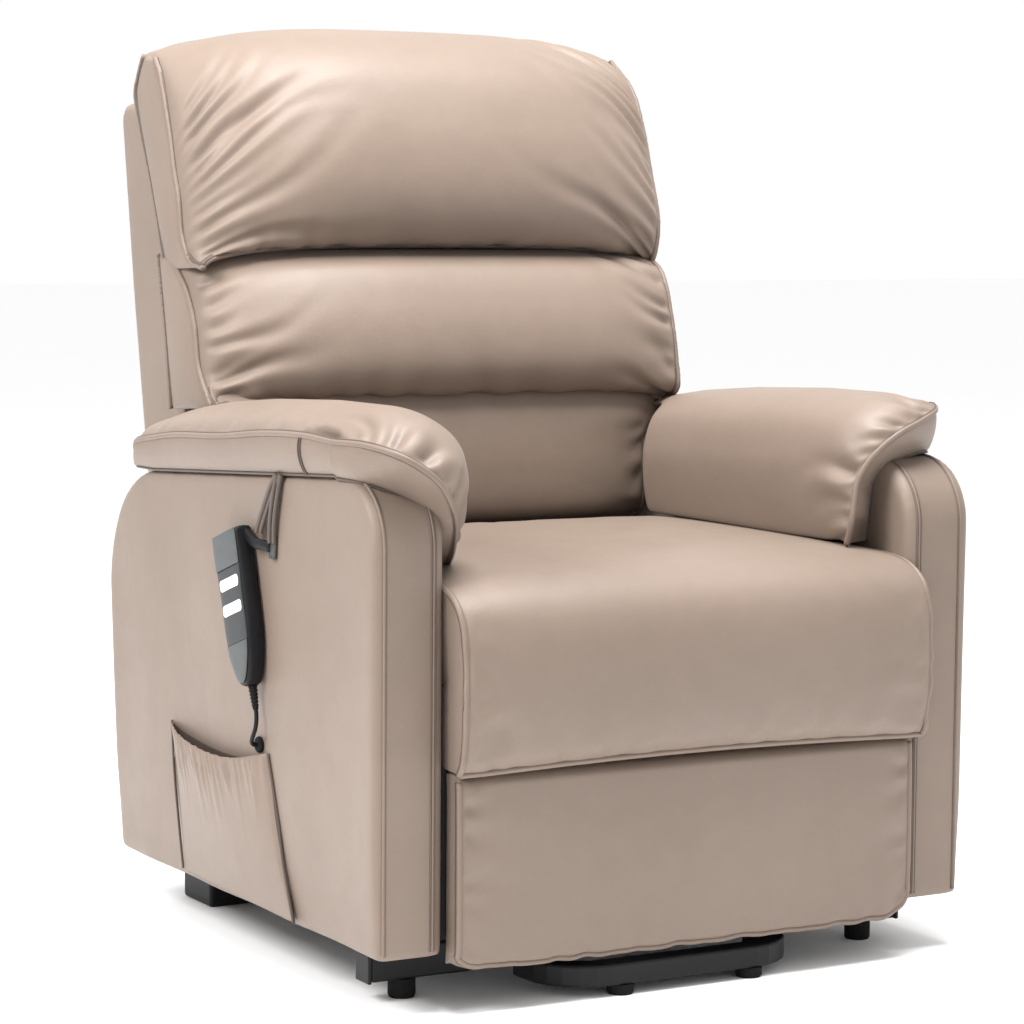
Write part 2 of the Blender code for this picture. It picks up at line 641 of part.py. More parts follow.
def footrest_parts():
    back = FOOTREST_BOARD_BACK
    low = (-FOOTREST_HALF + 0.008, FOOTREST_PAD_BACK + GAP, FOOTREST_LOW + 0.012)
    high = (FOOTREST_HALF - 0.008, back, FOOTREST_HIGH - 0.006)
    board = block("footrest_board", low, high, "deck_fabric", "footrest")
    ears = []
    for side in SIDE_SIGNS:
        lane_low, lane_high = span(side, LANE_LINK_2)
        outline = [(back - 0.004, FOOTREST_PIVOT[1] - 0.030)]
        outline += arc(FOOTREST_PIVOT, 0.010, -60, 60, 4) + [(back - 0.004, FOOTREST_PIVOT[1] + 0.028)]
        ears.append(prism(f"footrest_ear_{side}", outline, "X", lane_low, lane_high, "black_steel", "footrest"))
        ends = sorted((side * (LANE_LINK_2[0] + 0.001), side * (LANE_LINK_3[0] - 0.001)))
        ears.append(pin(f"footrest_pin_{side}", FOOTREST_PIVOT, *ends, PIN_RADIUS, "zinc_steel", "footrest"))
    union(board, *ears)
    outline = rounded_rectangle((-FOOTREST_HALF, FOOTREST_LOW), (FOOTREST_HALF, FOOTREST_HIGH), 0.016)
    rings = []
    for y, inset in ((FOOTREST_PAD_BACK, 0.0), (FOOTREST_FRONT + 0.008, 0.0), (FOOTREST_FRONT, 0.008)):
        center = (FOOTREST_LOW + FOOTREST_HIGH) / 2
        half = (FOOTREST_HIGH - FOOTREST_LOW) / 2
        rings.append(
            [(x * (1 - inset / FOOTREST_HALF), y, center + (z - center) * (1 - inset / half)) for x, z in outline]
        )
    loft("footrest_pad", rings, "leather", "footrest")


def footrest_links():
    """Three links a side, folded behind the footrest. Each has its pin at its far end."""
    joints = (LINK_1_PIVOT, LINK_2_PIVOT, LINK_3_PIVOT, FOOTREST_PIVOT)
    lanes = (LANE_LINK_1, LANE_LINK_2, LANE_LINK_3)
    radius = PIN_RADIUS + RUNNING_CLEARANCE
    for side in SIDE_SIGNS:
        for index, lane in enumerate(lanes):
            body = f"footrest_link_{index + 1}"
            near, far = joints[index], joints[index + 1]
            low, high = span(side, lane)
            name = f"{body}_{side_name(side)}"
            link = prism(name, capsule(near, far, 0.0095), "X", low, high, "zinc_steel", body)
            tag = f"{index}_{side}"
            if index == 0:
                ends = sorted((side * (lane[0] + 0.001), side * LANE_SIDE_PLATE[1]))
                union(link, pin("frame_pin_" + tag, near, *ends, PIN_RADIUS, "zinc_steel", body))
            else:
                cut(link, hole(near, low, high, radius, body, "near_" + tag))
            if index < 2:
                ends = sorted((side * (lane[1] - 0.001), side * (lanes[index + 1][0] - 0.0005)))
                union(link, pin("far_pin_" + tag, far, *ends, PIN_RADIUS, "zinc_steel", body))
            else:
                cut(link, hole(far, low, high, radius, body, "far_" + tag))


# ---------------------------------------------------------------- backrest
def back_line(z):
    """The y of the shell's front plane at a height."""
    return 0.3120 + 0.212 * (z - 0.4350)


def back_shell():
    outline = [(0.312, 0.435), (0.436, 0.449), (0.470, 0.525), (0.511, 0.742), (0.548, 0.975)]
    outline += [(0.546, 0.988), (0.535, 0.995), (0.450, 0.993), (0.434, 0.986), (back_line(0.972), 0.972)]
    prism("back_shell", outline, "X", -BACK_HALF, BACK_HALF, "leather", "backrest", 0.008)


def back_frame():
    """The torque tube on the recline axis, and a bracket at each end that carries the shell."""
    reach = 0.2787
    pin("back_tube", BACK_PIVOT, -reach, reach, 0.011, "black_steel", "backrest")
    for side in SIDE_SIGNS:
        low, high = span(side, LANE_LINK_1)
        outline = arc(BACK_PIVOT, 0.018, 150, 300, 6) + [(0.300, 0.418), (0.410, 0.430)]
        outline += [(0.412, 0.4455), (0.3120, 0.4347), (0.205, 0.430)]
        bracket = prism(f"back_bracket_{side_name(side)}", outline, "X", low, high, "black_steel", "backrest")
        ends = sorted((side * (LANE_LINK_1[0] + 0.001), side * LANE_SIDE_PLATE[1]))
        union(bracket, pin(f"back_pin_{side}", BACK_PIVOT, *ends, PIN_RADIUS, "zinc_steel", "backrest"))


def pillow(name, outline, half_width, body):
    """A side outline lofted across the chair. Towards its ends the front draws back to the rear face."""
    middle = sum(z for _, z in outline) / len(outline)
    rings = []
    for share in (-1.0, -0.97, -0.88, -0.60, 0.0, 0.60, 0.88, 0.97, 1.0):
        swell = (1 - abs(share) ** 4) ** 0.5
        depth = 0.50 + 0.50 * swell
        height = 0.93 + 0.07 * swell
        ring = []
        for y, z in outline:
            level = middle + (z - middle) * height
            back = back_line(level) - 0.003
            ring.append((share * half_width, back - (back_line(z) - 0.003 - y) * depth, level))
        rings.append(ring)
    return loft(name, rings, "leather", body)


def back_pillows():
    head = [(0.238, 0.801), (0.380, 0.801), (0.402, 0.900), (0.425, 1.010), (0.420, 1.055), (0.385, 1.080)]
    head += [(0.340, 1.088), (0.290, 1.076), (0.245, 1.040), (0.212, 0.970), (0.196, 0.890), (0.205, 0.825)]
    pillow("head_pillow", head, PILLOW_HALF, "backrest")
    middle = [(0.186, 0.626), (0.344, 0.626), (0.360, 0.700), (0.378, 0.796), (0.245, 0.796), (0.205, 0.775)]
    middle += [(0.170, 0.730), (0.154, 0.680), (0.162, 0.640)]
    pillow("middle_pillow", middle, PILLOW_HALF, "backrest")
    lower = [(0.196, 0.478), (0.315, 0.478), (0.340, 0.621), (0.205, 0.621), (0.180, 0.595), (0.170, 0.540)]
    lower += [(0.175, 0.490)]
    pillow("lower_cushion", lower, 0.2850, "backrest")


# ---------------------------------------------------------------- pocket, strap, handset and cord
def side_pocket():
    """A gathered pocket on the arm at -X, open at its top."""
    outer = [(0.170, 0.248), (0.138, 0.076), (-0.162, 0.071), (-0.100, 0.252), (-0.022, 0.236), (0.080, 0.236)]
    panel = -ARM_OUTER - GAP
    rings = []
    for depth, inset in ((0.0, 0.0), (0.010, 0.002), (0.017, 0.012)):
        ring = []
        for y, z in outer:
            slope = min(max((z - 0.071) / 0.10, 0.35), 1.0)
            toward = 0.004 + (0.165 - z) * 0.02
            ring.append((panel - depth * slope, y + (toward - y) * inset / 0.15, z))
        rings.append(ring)
    pocket = loft("side_pocket", rings, "leather", "chassis")
    mouth = [(0.158, 0.262), (0.132, 0.098), (-0.136, 0.096), (-0.088, 0.262)]
    cutter_rings = []
    for depth, inset in ((-0.004, 0.0), (0.0075, 0.004), (0.0135, 0.018)):
        ring = []
        for y, z in mouth:
            slope = min(max((z - 0.085) / 0.10, 0.20), 1.0)
            ring.append((panel - depth * slope, y + (0.004 - y) * inset / 0.15, z))
        cutter_rings.append(ring)
    cut(pocket, loft("pocket_cutter", cutter_rings, "leather", "chassis"))


def handset_strap():
    """A leather loop sewn under the arm pad, and the hook plate that it holds."""
    x_low, x_high = -ARM_OUTER - 0.0062, -ARM_OUTER - GAP
    outline = [(-0.1240, 0.5620), (-0.1000, 0.5020), (-0.0960, 0.4800), (-0.1160, 0.4800), (-0.1360, 0.5620)]
    strap = prism("handset_strap", outline, "X", x_low, x_high, "leather", "chassis")
    cutter_outline = [(-0.1260, 0.5420), (-0.1060, 0.5020), (-0.1200, 0.5060)]
    cut(strap, prism("strap_cutter", cutter_outline, "X", x_low - 0.01, x_high + 0.002, "leather", "chassis"))


def handset_frame():
    """Unit vectors in the side view: down the handset, and across it towards the back."""
    down = (Vector(HANDSET_BOTTOM) - Vector(HANDSET_TOP)).normalized()
    return down, Vector((-down[1], down[0]))


def on_handset(distance, across):
    """A (y, z) that far down the handset from its top, and that far across it."""
    down, sideways = handset_frame()
    y, z = Vector(HANDSET_TOP) + down * distance + sideways * across
    return (y, z)


def handset_outline(inset):
    length = (Vector(HANDSET_BOTTOM) - Vector(HANDSET_TOP)).length
    half = [(0.0, 0.0330), (0.050, 0.0335), (0.110, 0.0320), (0.142, 0.0270), (0.163, 0.0180), (length, 0.0080)]
    right = []
    for distance, width in half:
        inner = min(max(distance, inset), length - inset)
        right.append((inner, max(width - inset, 0.004)))
    back = [on_handset(distance, width) for distance, width in right]
    front = [on_handset(distance, -width) for distance, width in reversed(right)]
    return back + front


def handset():
    rings = []
    for x, inset in (
        (HANDSET_BACK, 0.004),
        (HANDSET_BACK - 0.004, 0.0),
        (HANDSET_FACE + 0.006, 0.0),
        (HANDSET_FACE, 0.0035),
    ):
        rings.append([(x, y, z) for y, z in handset_outline(inset)])
    body = loft("handset_body", rings, "grey_plastic", "handset")
    corners = (on_handset(-0.003, -0.012), on_handset(0.010, -0.012), (-0.1130, 0.4810), (-0.1130, 0.4930))
    hook_x = (-ARM_OUTER - 0.0170, -ARM_OUTER - 0.0065)
    hook = prism("hook_arm", list(corners), "X", *hook_x, "black_plastic", "handset")
    union(body, hook)
    for name, distance in (("button_up", 0.0600), ("button_down", 0.0890)):
        corner_low, corner_high = (distance - 0.0070, -0.0245), (distance + 0.0070, 0.0245)
        outline = rounded_rectangle(corner_low, corner_high, 0.003, 2)
        recess = [on_handset(u, v) for u, v in outline]
        floor = HANDSET_FACE + 0.0040
        cut(body, prism(name + "_cutter", recess, "X", HANDSET_FACE - 0.003, floor, "grey_plastic", "handset"))
        small = rounded_rectangle(
            (corner_low[0] + 0.0004, corner_low[1] + 0.0004),
            (corner_high[0] - 0.0004, corner_high[1] - 0.0004),
            0.0026,
            2,
        )
        face = [on_handset(u, v) for u, v in small]
        deep = floor - BUTTON_TRAVEL - 0.0005
        prism(name, face, "X", HANDSET_FACE - 0.0012, deep, "white_plastic", name)


def cord_route():
    """Places along the cord's middle line, from the handset's strain relief to the eyelet."""
    x = -ARM_OUTER
    return [
        (x - 0.0150, *on_handset(0.2055, 0.0)),
        (x - 0.0150, *on_handset(0.2100, 0.0)),
        (x - 0.0156, -0.0912, 0.2895),
        (x - 0.0162, -0.0915, 0.2835),
        (x - 0.0168, -0.0902, 0.2775),
        (x - 0.0172, -0.0872, 0.2720),
        (x - 0.0170, -0.0835, 0.2672),
        (x - 0.0156, -0.0788, 0.2616),
        (x - 0.0118, -0.0761, 0.2580),
        (x - 0.0066, -0.0760, 0.2575),
    ]


def smooth_path(points, spacing):
    """Places along a Catmull-Rom curve through the points, about that far apart."""
    padded = [points[0]] + points + [points[-1]]
    path = []
    for i in range(1, len(padded) - 2):
        p0, p1, p2, p3 = (Vector(p) for p in padded[i - 1 : i + 3])
        steps = max(1, round((p2 - p1).length / spacing))
        for step in range(steps):
            t = step / steps
            path.append(
                0.5 * (2 * p1 + (p2 - p0) * t + (2 * p0 - 5 * p1 + 4 * p2 - p3) * t**2
                       + (3 * p1 - p0 - 3 * p2 + p3) * t**3)
            )
    path.append(Vector(points[-1]))
    return path


CORD_DIAMETER = 0.0050


def strain_relief():
    """A tapered sleeve from the handset's lower end to the cord."""
    top = (HANDSET_BACK - 0.0095, *on_handset(0.1790, 0.0))
    bottom = Vector(cord_route()[0])
    bottom -= (bottom - Vector(top)).normalized() * GAP
    along = (bottom - Vector(top)).normalized()
    across = along.orthogonal().normalized()
    up = along.cross(across)
    rings = []
    for center, radius in ((Vector(top), 0.0048), (bottom, 0.0034)):
        angles = [2 * math.pi * i / 12 for i in range(12)]
        rings.append([center + radius * (math.cos(a) * across + math.sin(a) * up) for a in angles])
    loft("strain_relief", rings, "black_rubber", "handset")


def cord():
    curve = bpy.data.curves.new("handset_cord", "CURVE")
    curve.dimensions = "3D"
    curve.bevel_depth = CORD_DIAMETER / 2
    curve.bevel_resolution = 2
    curve.use_fill_caps = True
    path = smooth_path(cord_route(), 0.010)
    spline = curve.splines.new("POLY")
    spline.points.add(len(path) - 1)
    for point, place_ in zip(spline.points, path):
        point.co = (*place_, 1.0)
    add_object("handset_cord", curve, "cord_sheath", "chassis")


def cord_grommet():
    low, high = -ARM_OUTER - 0.0063, -ARM_OUTER - GAP
    pin("cord_grommet", GROMMET, low, high, 0.0075, "black_rubber", "chassis")


def build():
    clear_scene()
    make_materials()
    make_bodies()
    base_tubes()
    base_rails()
    base_mid_tube()
    base_brackets()
    base_bow()
    base_feet()
    lift_arms()
    lift_cross_tube()
    upper_links()
    lift_motor()
    lift_rod()
    seat_sides()
    seat_tubes()
    seat_deck()
    control_box()
    rear_panel()
    arms()
    arm_pads()
    seat_cushion()
    footrest_parts()
    footrest_links()
    back_shell()
    back_frame()
    back_pillows()
    side_pocket()
    handset_strap()
    handset()
    strain_relief()
    cord()
    cord_grommet()


build()
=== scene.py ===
"""Lift recliner chair: leather, cushions, handset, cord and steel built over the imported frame.

Metres. Places are written in the chair's own coordinates and moved by SHIFT into the frame. +X is the
sitter's left, -Y is the front of the chair.
"""

import json
import math

import bmesh
import bpy
import numpy as np
from mathutils import Matrix, Vector


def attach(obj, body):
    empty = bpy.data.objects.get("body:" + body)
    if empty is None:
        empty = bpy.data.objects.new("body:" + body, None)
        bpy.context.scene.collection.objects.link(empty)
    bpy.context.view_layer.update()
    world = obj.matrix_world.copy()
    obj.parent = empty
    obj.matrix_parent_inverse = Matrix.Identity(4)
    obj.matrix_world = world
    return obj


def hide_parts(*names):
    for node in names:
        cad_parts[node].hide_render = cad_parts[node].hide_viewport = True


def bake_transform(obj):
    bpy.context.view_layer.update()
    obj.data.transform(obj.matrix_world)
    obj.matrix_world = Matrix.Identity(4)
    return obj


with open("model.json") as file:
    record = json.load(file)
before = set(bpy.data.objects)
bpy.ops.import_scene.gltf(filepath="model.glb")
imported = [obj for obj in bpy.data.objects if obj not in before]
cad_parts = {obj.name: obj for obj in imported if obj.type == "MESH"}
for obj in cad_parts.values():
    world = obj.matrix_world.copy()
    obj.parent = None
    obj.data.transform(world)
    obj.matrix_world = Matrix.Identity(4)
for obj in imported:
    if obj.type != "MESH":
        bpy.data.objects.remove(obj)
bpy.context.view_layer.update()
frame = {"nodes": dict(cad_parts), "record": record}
SHIFT = np.array((0.0, -0.069, 0.0))
COLLECTION = bpy.context.scene.collection
MATERIALS = {}

ARM_INNER = 0.3020
ARM_OUTER = 0.3850
ARM_FRONT = -0.3570
ARM_REAR = 0.3750
ARM_FRONT_ROUND = 0.0740
ARM_REAR_ROUND = 0.1500
ARM_FOOT = 0.0630
ARM_TOP_FRONT = 0.5765
ARM_TOP_REAR = 0.5460
HANDSET_TOP = np.array((-0.0260, 0.4960))
HANDSET_DOWN = np.array((-0.30274, -0.95308))
HANDSET_BACK = -0.3905
HANDSET_FACE = -0.4115
GROMMET = (-0.0760, 0.2575)
CORD_DIAMETER = 0.0050


# ---------------------------------------------------------------- camera, lights and floor
def camera():
    yaw, pitch, roll = (math.radians(a) for a in (29.5086, -5.4066, 0.4398))
    forward = Vector((math.sin(yaw) * math.cos(pitch), math.cos(yaw) * math.cos(pitch), math.sin(pitch)))
    right = Vector((math.cos(yaw), -math.sin(yaw), 0.0))
    up = right.cross(forward)
    across = math.cos(roll) * right + math.sin(roll) * up
    upward = -math.sin(roll) * right + math.cos(roll) * up
    data = bpy.data.cameras.new("camera")
    data.lens = 112.5
    data.sensor_width = 36.0
    data.clip_end = 60.0
    obj = bpy.data.objects.new("camera", data)
    COLLECTION.objects.link(obj)
    obj.matrix_world = Matrix.Translation((-1.90404, -3.39591, 0.86204)) @ Matrix(
        (across, upward, -forward)
    ).transposed().to_4x4()
    bpy.context.scene.camera = obj


def area_light(name, location, target, size, power):
    data = bpy.data.lights.new(name, "AREA")
    data.shape = "RECTANGLE"
    data.size, data.size_y = size
    data.energy = power
    obj = bpy.data.objects.new(name, data)
    COLLECTION.objects.link(obj)
    obj.location = location
    direction = Vector(target) - Vector(location)
    obj.rotation_euler = direction.to_track_quat("-Z", "Y").to_euler()


def studio():
    world = bpy.data.worlds.new("studio")
    world.use_nodes = True
    background = world.node_tree.nodes["Background"]
    background.inputs["Color"].default_value = (1.0, 1.0, 1.0, 1.0)
    background.inputs["Strength"].default_value = 1.0
    scene = bpy.context.scene
    scene.world = world
    scene.view_settings.view_transform = "Standard"
    area_light("key", (-2.6, -0.3, 2.3), (0.0, 0.0, 0.6), (1.2, 1.2), 100.0)
    area_light("top", (-0.1, -0.6, 3.1), (0.0, -0.1, 0.5), (1.3, 1.3), 170.0)
    mesh = bpy.data.meshes.new("floor")
    mesh.from_pydata([(-30, -30, 0), (30, -30, 0), (30, 30, 0), (-30, 30, 0)], [], [(0, 1, 2, 3)])
    floor = bpy.data.objects.new("floor", mesh)
    COLLECTION.objects.link(floor)
    mesh.materials.append(MATERIALS["floor"])


# ---------------------------------------------------------------- materials
def scaled(color, factor):
    return tuple(min(1.0, c * factor) for c in color)


class Nodes:
    """A small helper that adds and links shader nodes."""

    def __init__(self, name):
        self.material = bpy.data.materials.new(name)
        self.material.use_nodes = True
        self.tree = self.material.node_tree
        self.shader = self.tree.nodes["Principled BSDF"]
        self.place = self.add("ShaderNodeTexCoord").outputs["Object"]
        MATERIALS[name] = self.material

    def add(self, kind, **values):
        node = self.tree.nodes.new(kind)
        for key, value in values.items():
            setattr(node, key, value)
        return node

    def link(self, source, target):
        self.tree.links.new(source, target)

    def noise(self, scale, detail=2.0, roughness=0.5, stretch=None, distortion=0.0):
        node = self.add("ShaderNodeTexNoise")
        node.inputs["Scale"].default_value = scale
        node.inputs["Detail"].default_value = detail
        node.inputs["Roughness"].default_value = roughness
        node.inputs["Distortion"].default_value = distortion
        self.link(self.stretched(stretch), node.inputs["Vector"])
        return node.outputs["Fac"]

    def stretched(self, stretch):
        if stretch is None:
            return self.place
        mapping = self.add("ShaderNodeMapping")
        mapping.inputs["Scale"].default_value = stretch
        self.link(self.place, mapping.inputs["Vector"])
        return mapping.outputs["Vector"]

    def cells(self, scale, feature="DISTANCE_TO_EDGE", stretch=None, warp=0.0):
        node = self.add("ShaderNodeTexVoronoi", feature=feature)
        node.inputs["Scale"].default_value = scale
        vector = self.stretched(stretch)
        if warp:
            wobble = self.add("ShaderNodeTexNoise")
            wobble.inputs["Scale"].default_value = scale * 0.35
            self.link(vector, wobble.inputs["Vector"])
            mix = self.add("ShaderNodeVectorMath", operation="MULTIPLY_ADD")
            mix.inputs[1].default_value = (warp, warp, warp)
            self.link(wobble.outputs["Color"], mix.inputs[0])
            self.link(vector, mix.inputs[2])
            vector = mix.outputs[0]
        self.link(vector, node.inputs["Vector"])
        return node.outputs["Distance"]

    def ramp(self, source, stops):
        """stops are (position, value or color)."""
        node = self.add("ShaderNodeValToRGB")
        elements = node.color_ramp.elements
        while len(elements) < len(stops):
            elements.new(0.5)
        for element, (position, value) in zip(elements, stops):
            element.position = position
            element.color = (*value, 1.0) if hasattr(value, "__len__") else (value, value, value, 1.0)
        self.link(source, node.inputs["Fac"])
        return node.outputs["Color"]

    def span(self, source, low, high):
        node = self.add("ShaderNodeMapRange")
        node.inputs["To Min"].default_value = low
        node.inputs["To Max"].default_value = high
        self.link(source, node.inputs["Value"])
        return node.outputs["Result"]

    def multiply(self, first, second, share=1.0):
        node = self.add("ShaderNodeMix", data_type="RGBA", blend_type="MULTIPLY")
        node.inputs[0].default_value = share
        self.link(first, node.inputs[6])
        self.link(second, node.inputs[7])
        return node.outputs[2]

    def bumps(self, *layers):
        """layers are (height, strength, distance), the coarsest first."""
        normal = None
        for height, strength, distance in layers:
            node = self.add("ShaderNodeBump")
            node.inputs["Strength"].default_value = strength
            node.inputs["Distance"].default_value = distance
            self.link(height, node.inputs["Height"])
            if normal is not None:
                self.link(normal, node.inputs["Normal"])
            normal = node.outputs["Normal"]
        self.link(normal, self.shader.inputs["Normal"])

    def set(self, **values):
        for key, value in values.items():
            self.shader.inputs[key.replace("_", " ")].default_value = value


def leather(name, light, dark):
    """Soft bonded leather: fine pebble grain, faint creases, slow drift of colour and gloss."""
    m = Nodes(name)
    drift = m.noise(3.2, 3.0, 0.55)
    color = m.ramp(drift, ((0.25, dark), (0.75, light)))
    mottle = m.ramp(m.noise(38.0, 4.0, 0.6), ((0.2, 0.93), (0.8, 1.0)))
    color = m.multiply(color, mottle)
    grain = m.cells(820.0, warp=0.0009)
    pores = m.ramp(grain, ((0.0, 0.80), (0.10, 1.0)))
    color = m.multiply(color, pores, 0.55)
    # Pointiness darkens the leather in hollows and creases as painted shade, and lightens it on sharp outer
    # edges as rubbed wear.
    rim = m.add("ShaderNodeNewGeometry").outputs["Pointiness"]
    hollow_shade_and_edge_wear = m.ramp(rim, ((0.40, 0.72), (0.48, 0.97), (0.53, 1.0), (0.60, 1.10)))
    color = m.multiply(color, hollow_shade_and_edge_wear, 0.8)
    m.link(color, m.shader.inputs["Base Color"])
    m.link(m.span(m.noise(16.0, 4.0, 0.6), 0.36, 0.56), m.shader.inputs["Roughness"])
    crease = m.cells(64.0, stretch=(1.0, 1.0, 0.6), warp=0.02)
    height = m.ramp(grain, ((0.0, 0.0), (0.12, 0.75), (0.4, 1.0)))
    m.bumps(
        (m.noise(24.0, 3.0, 0.5), 0.22, 0.0030),
        (m.ramp(crease, ((0.0, 0.0), (0.06, 1.0))), 0.05, 0.0010),
        (height, 0.24, 0.00035),
    )
    m.set(Sheen_Weight=0.05, Sheen_Roughness=0.5, Specular_IOR_Level=0.36)


def painted(name, color, roughness, specular=0.2, grain=900.0, depth=0.10):
    """Powder coat, moulded plastic or rubber: fine texture and scuffs."""
    m = Nodes(name)
    scuff = m.noise(45.0, 6.0, 0.7, stretch=(1.0, 0.35, 1.0))
    base = m.ramp(scuff, ((0.30, scaled(color, 0.85)), (0.75, scaled(color, 1.2))))
    m.link(base, m.shader.inputs["Base Color"])
    m.link(m.span(scuff, roughness - 0.07, roughness + 0.09), m.shader.inputs["Roughness"])
    m.bumps((m.noise(14.0, 2.0), 0.05, 0.002), (m.noise(grain, 3.0, 0.6), depth, 0.0004))
    m.set(Specular_IOR_Level=specular)


def brushed(name, color):
    m = Nodes(name)
    streak = m.noise(120.0, 4.0, 0.6, stretch=(6.0, 0.5, 0.5))
    spangle = m.cells(90.0, feature="F1")
    tint = m.ramp(spangle, ((0.0, scaled(color, 0.85)), (0.8, color)))
    base = m.multiply(tint, m.span(streak, 0.8, 1.0))
    m.link(base, m.shader.inputs["Base Color"])
    m.link(m.span(streak, 0.24, 0.44), m.shader.inputs["Roughness"])
    m.bumps((streak, 0.08, 0.0003))
    m.set(Metallic=1.0)


def woven(name, color):
    m = Nodes(name)
    weave = m.add("ShaderNodeTexChecker")
    weave.inputs["Scale"].default_value = 500.0
    m.link(m.place, weave.inputs["Vector"])
    threads = m.noise(700.0, 2.0, 0.5, stretch=(1.0, 0.2, 0.2))
    tint = m.ramp(threads, ((0.2, scaled(color, 0.6)), (0.8, scaled(color, 1.6))))
    base = m.multiply(tint, m.ramp(weave.outputs["Fac"], ((0.0, 0.75), (1.0, 1.0))))
    m.link(base, m.shader.inputs["Base Color"])
    m.link(m.span(threads, 0.82, 0.98), m.shader.inputs["Roughness"])
    m.bumps((weave.outputs["Fac"], 0.5, 0.0004), (threads, 0.3, 0.0004))


def plain_floor():
    m = Nodes("floor")
    m.link(m.ramp(m.noise(2.0), ((0.0, 0.96), (1.0, 0.98))), m.shader.inputs["Base Color"])
    m.set(Roughness=0.75)


def make_materials():
    leather("leather", (0.196, 0.147, 0.116), (0.170, 0.126, 0.098))
    leather("welt", (0.176, 0.130, 0.101), (0.146, 0.106, 0.082))
    # inner: near-black brown for the painted shadow lines beside the welts and under the arm pads, for the
    # painted shadow in the pocket mouth, and for the pocket's edge seams.
    leather("inner", (0.072, 0.050, 0.038), (0.052, 0.036, 0.028))
    # seam: mid brown for the thin painted shadow lines beside the arms' seams.
    leather("seam", (0.118, 0.085, 0.066), (0.094, 0.067, 0.052))
    leather("strap", (0.100, 0.076, 0.060), (0.060, 0.044, 0.035))
    painted("black_steel", (0.008, 0.008, 0.009), 0.40, 0.16)
    brushed("zinc_steel", (0.30, 0.30, 0.31))
    painted("black_rubber", (0.009, 0.009, 0.009), 0.78, 0.10, grain=500.0, depth=0.2)
    painted("black_plastic", (0.008, 0.008, 0.009), 0.40, 0.16, grain=1500.0, depth=0.18)
    painted("grey_plastic", (0.066, 0.070, 0.073), 0.46, grain=1700.0, depth=0.14)
    painted("dark_plastic", (0.032, 0.034, 0.036), 0.44, grain=1700.0, depth=0.14)
    painted("white_plastic", (0.80, 0.80, 0.79), 0.36, 0.4, grain=1200.0, depth=0.05)
    painted("hook_lip", (0.050, 0.053, 0.049), 0.5, grain=1500.0, depth=0.1)
    painted("cord_sheath", (0.008, 0.008, 0.009), 0.46, 0.14, grain=800.0, depth=0.12)
    woven("deck_fabric", (0.012, 0.012, 0.013))
    plain_floor()


# ---------------------------------------------------------------- lines and meshes
def smooth_line(points, count):
    """A Catmull-Rom curve through the points, in count places at equal steps."""
    p = np.array(points, float)
    padded = np.vstack([2 * p[0] - p[1], p, 2 * p[-1] - p[-2]])
    parts = []
    for i in range(1, len(padded) - 2):
        t = np.linspace(0, 1, 16, endpoint=False)[:, None]
        a, b, c, d = padded[i - 1 : i + 3]
        bend, twist = 2 * a - 5 * b + 4 * c - d, 3 * b - a - 3 * c + d
        parts.append(0.5 * (2 * b + (c - a) * t + bend * t**2 + twist * t**3))
    return even(np.vstack(parts + [p[-1:]]), count)


def walked(line):
    """How far along the line each of its places is."""
    return np.r_[0, np.cumsum(np.linalg.norm(np.diff(line, axis=0), axis=1))]


def even(points, count):
    """The polyline in count places at equal steps."""
    steps = walked(points)
    at = np.linspace(0, steps[-1], count)
    return np.column_stack([np.interp(at, steps, points[:, k]) for k in range(points.shape[1])])


def arc(center, radius, start, end, steps):
    angles = np.radians(np.linspace(start, end, steps + 1))
    return (np.array(center) + radius * np.column_stack([np.cos(angles), np.sin(angles)])).tolist()


def ease(t):
    t = np.clip(t, 0.0, 1.0)
    return t * t * (3 - 2 * t)


def piece(name, points, faces, material, body, slot=None):
    """A smooth mesh that rides on a body, or a free one where body is None."""
    mesh = bpy.data.meshes.new(name)
    mesh.from_pydata((np.asarray(points, float) + SHIFT).tolist(), [], faces)
    bm = bmesh.new()
    bm.from_mesh(mesh)
    bmesh.ops.remove_doubles(bm, verts=bm.verts, dist=1e-6)
    bmesh.ops.recalc_face_normals(bm, faces=bm.faces)
    bm.to_mesh(mesh)
    bm.free()
    mesh.materials.append(MATERIALS[material])
    mesh.shade_smooth()
    obj = bpy.data.objects.new(name, mesh)
    COLLECTION.objects.link(obj)
    if body:
        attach(obj, body)
    return obj


def grid_faces(index):
    """Quads over a 2-D array of vertex numbers."""
    a, b, c, d = index[:-1, :-1], index[1:, :-1], index[1:, 1:], index[:-1, 1:]
    return np.stack([a, b, c, d], axis=-1).reshape(-1, 4).tolist()


def open_sheet(grid):
    """Points and faces of a grid of places."""
    rows, columns = grid.shape[:2]
    return grid.reshape(-1, 3), grid_faces(np.arange(rows * columns).reshape(rows, columns))


def closed_rings(rings):
    """Points and faces of a closed body through rings of places, one behind the other."""
    rings = np.asarray(rings, float)
    index = np.arange(rings.shape[0] * rings.shape[1]).reshape(rings.shape[:2])
    faces = grid_faces(np.hstack([index, index[:, :1]]))
    return rings.reshape(-1, 3), faces + [index[0].tolist(), index[-1][::-1].tolist()]


def tube_mesh(path, radius, sides=10):
    """Points and faces of a round tube along a path. radius may be one number or one for each place."""
    path = np.asarray(path, float)
    radius = np.broadcast_to(np.asarray(radius, float), (len(path),))
    tangent = np.gradient(path, axis=0)
    tangent /= np.linalg.norm(tangent, axis=1)[:, None] + 1e-12
    normal = np.cross(tangent[0], (0.31, 0.17, 0.93))
    normal /= np.linalg.norm(normal)
    angles = np.linspace(0, 2 * np.pi, sides, endpoint=False)
    rings = []
    for i, center in enumerate(path):
        normal = normal - tangent[i] * (normal @ tangent[i])
        normal /= np.linalg.norm(normal)
        across = np.cross(tangent[i], normal)
        ring = np.cos(angles)[:, None] * normal + np.sin(angles)[:, None] * across
        rings.append(center + radius[i] * ring)
    return closed_rings(rings)


def tube(name, path, radius, material, body, sides):
    return piece(name, *tube_mesh(path, radius, sides), material, body)


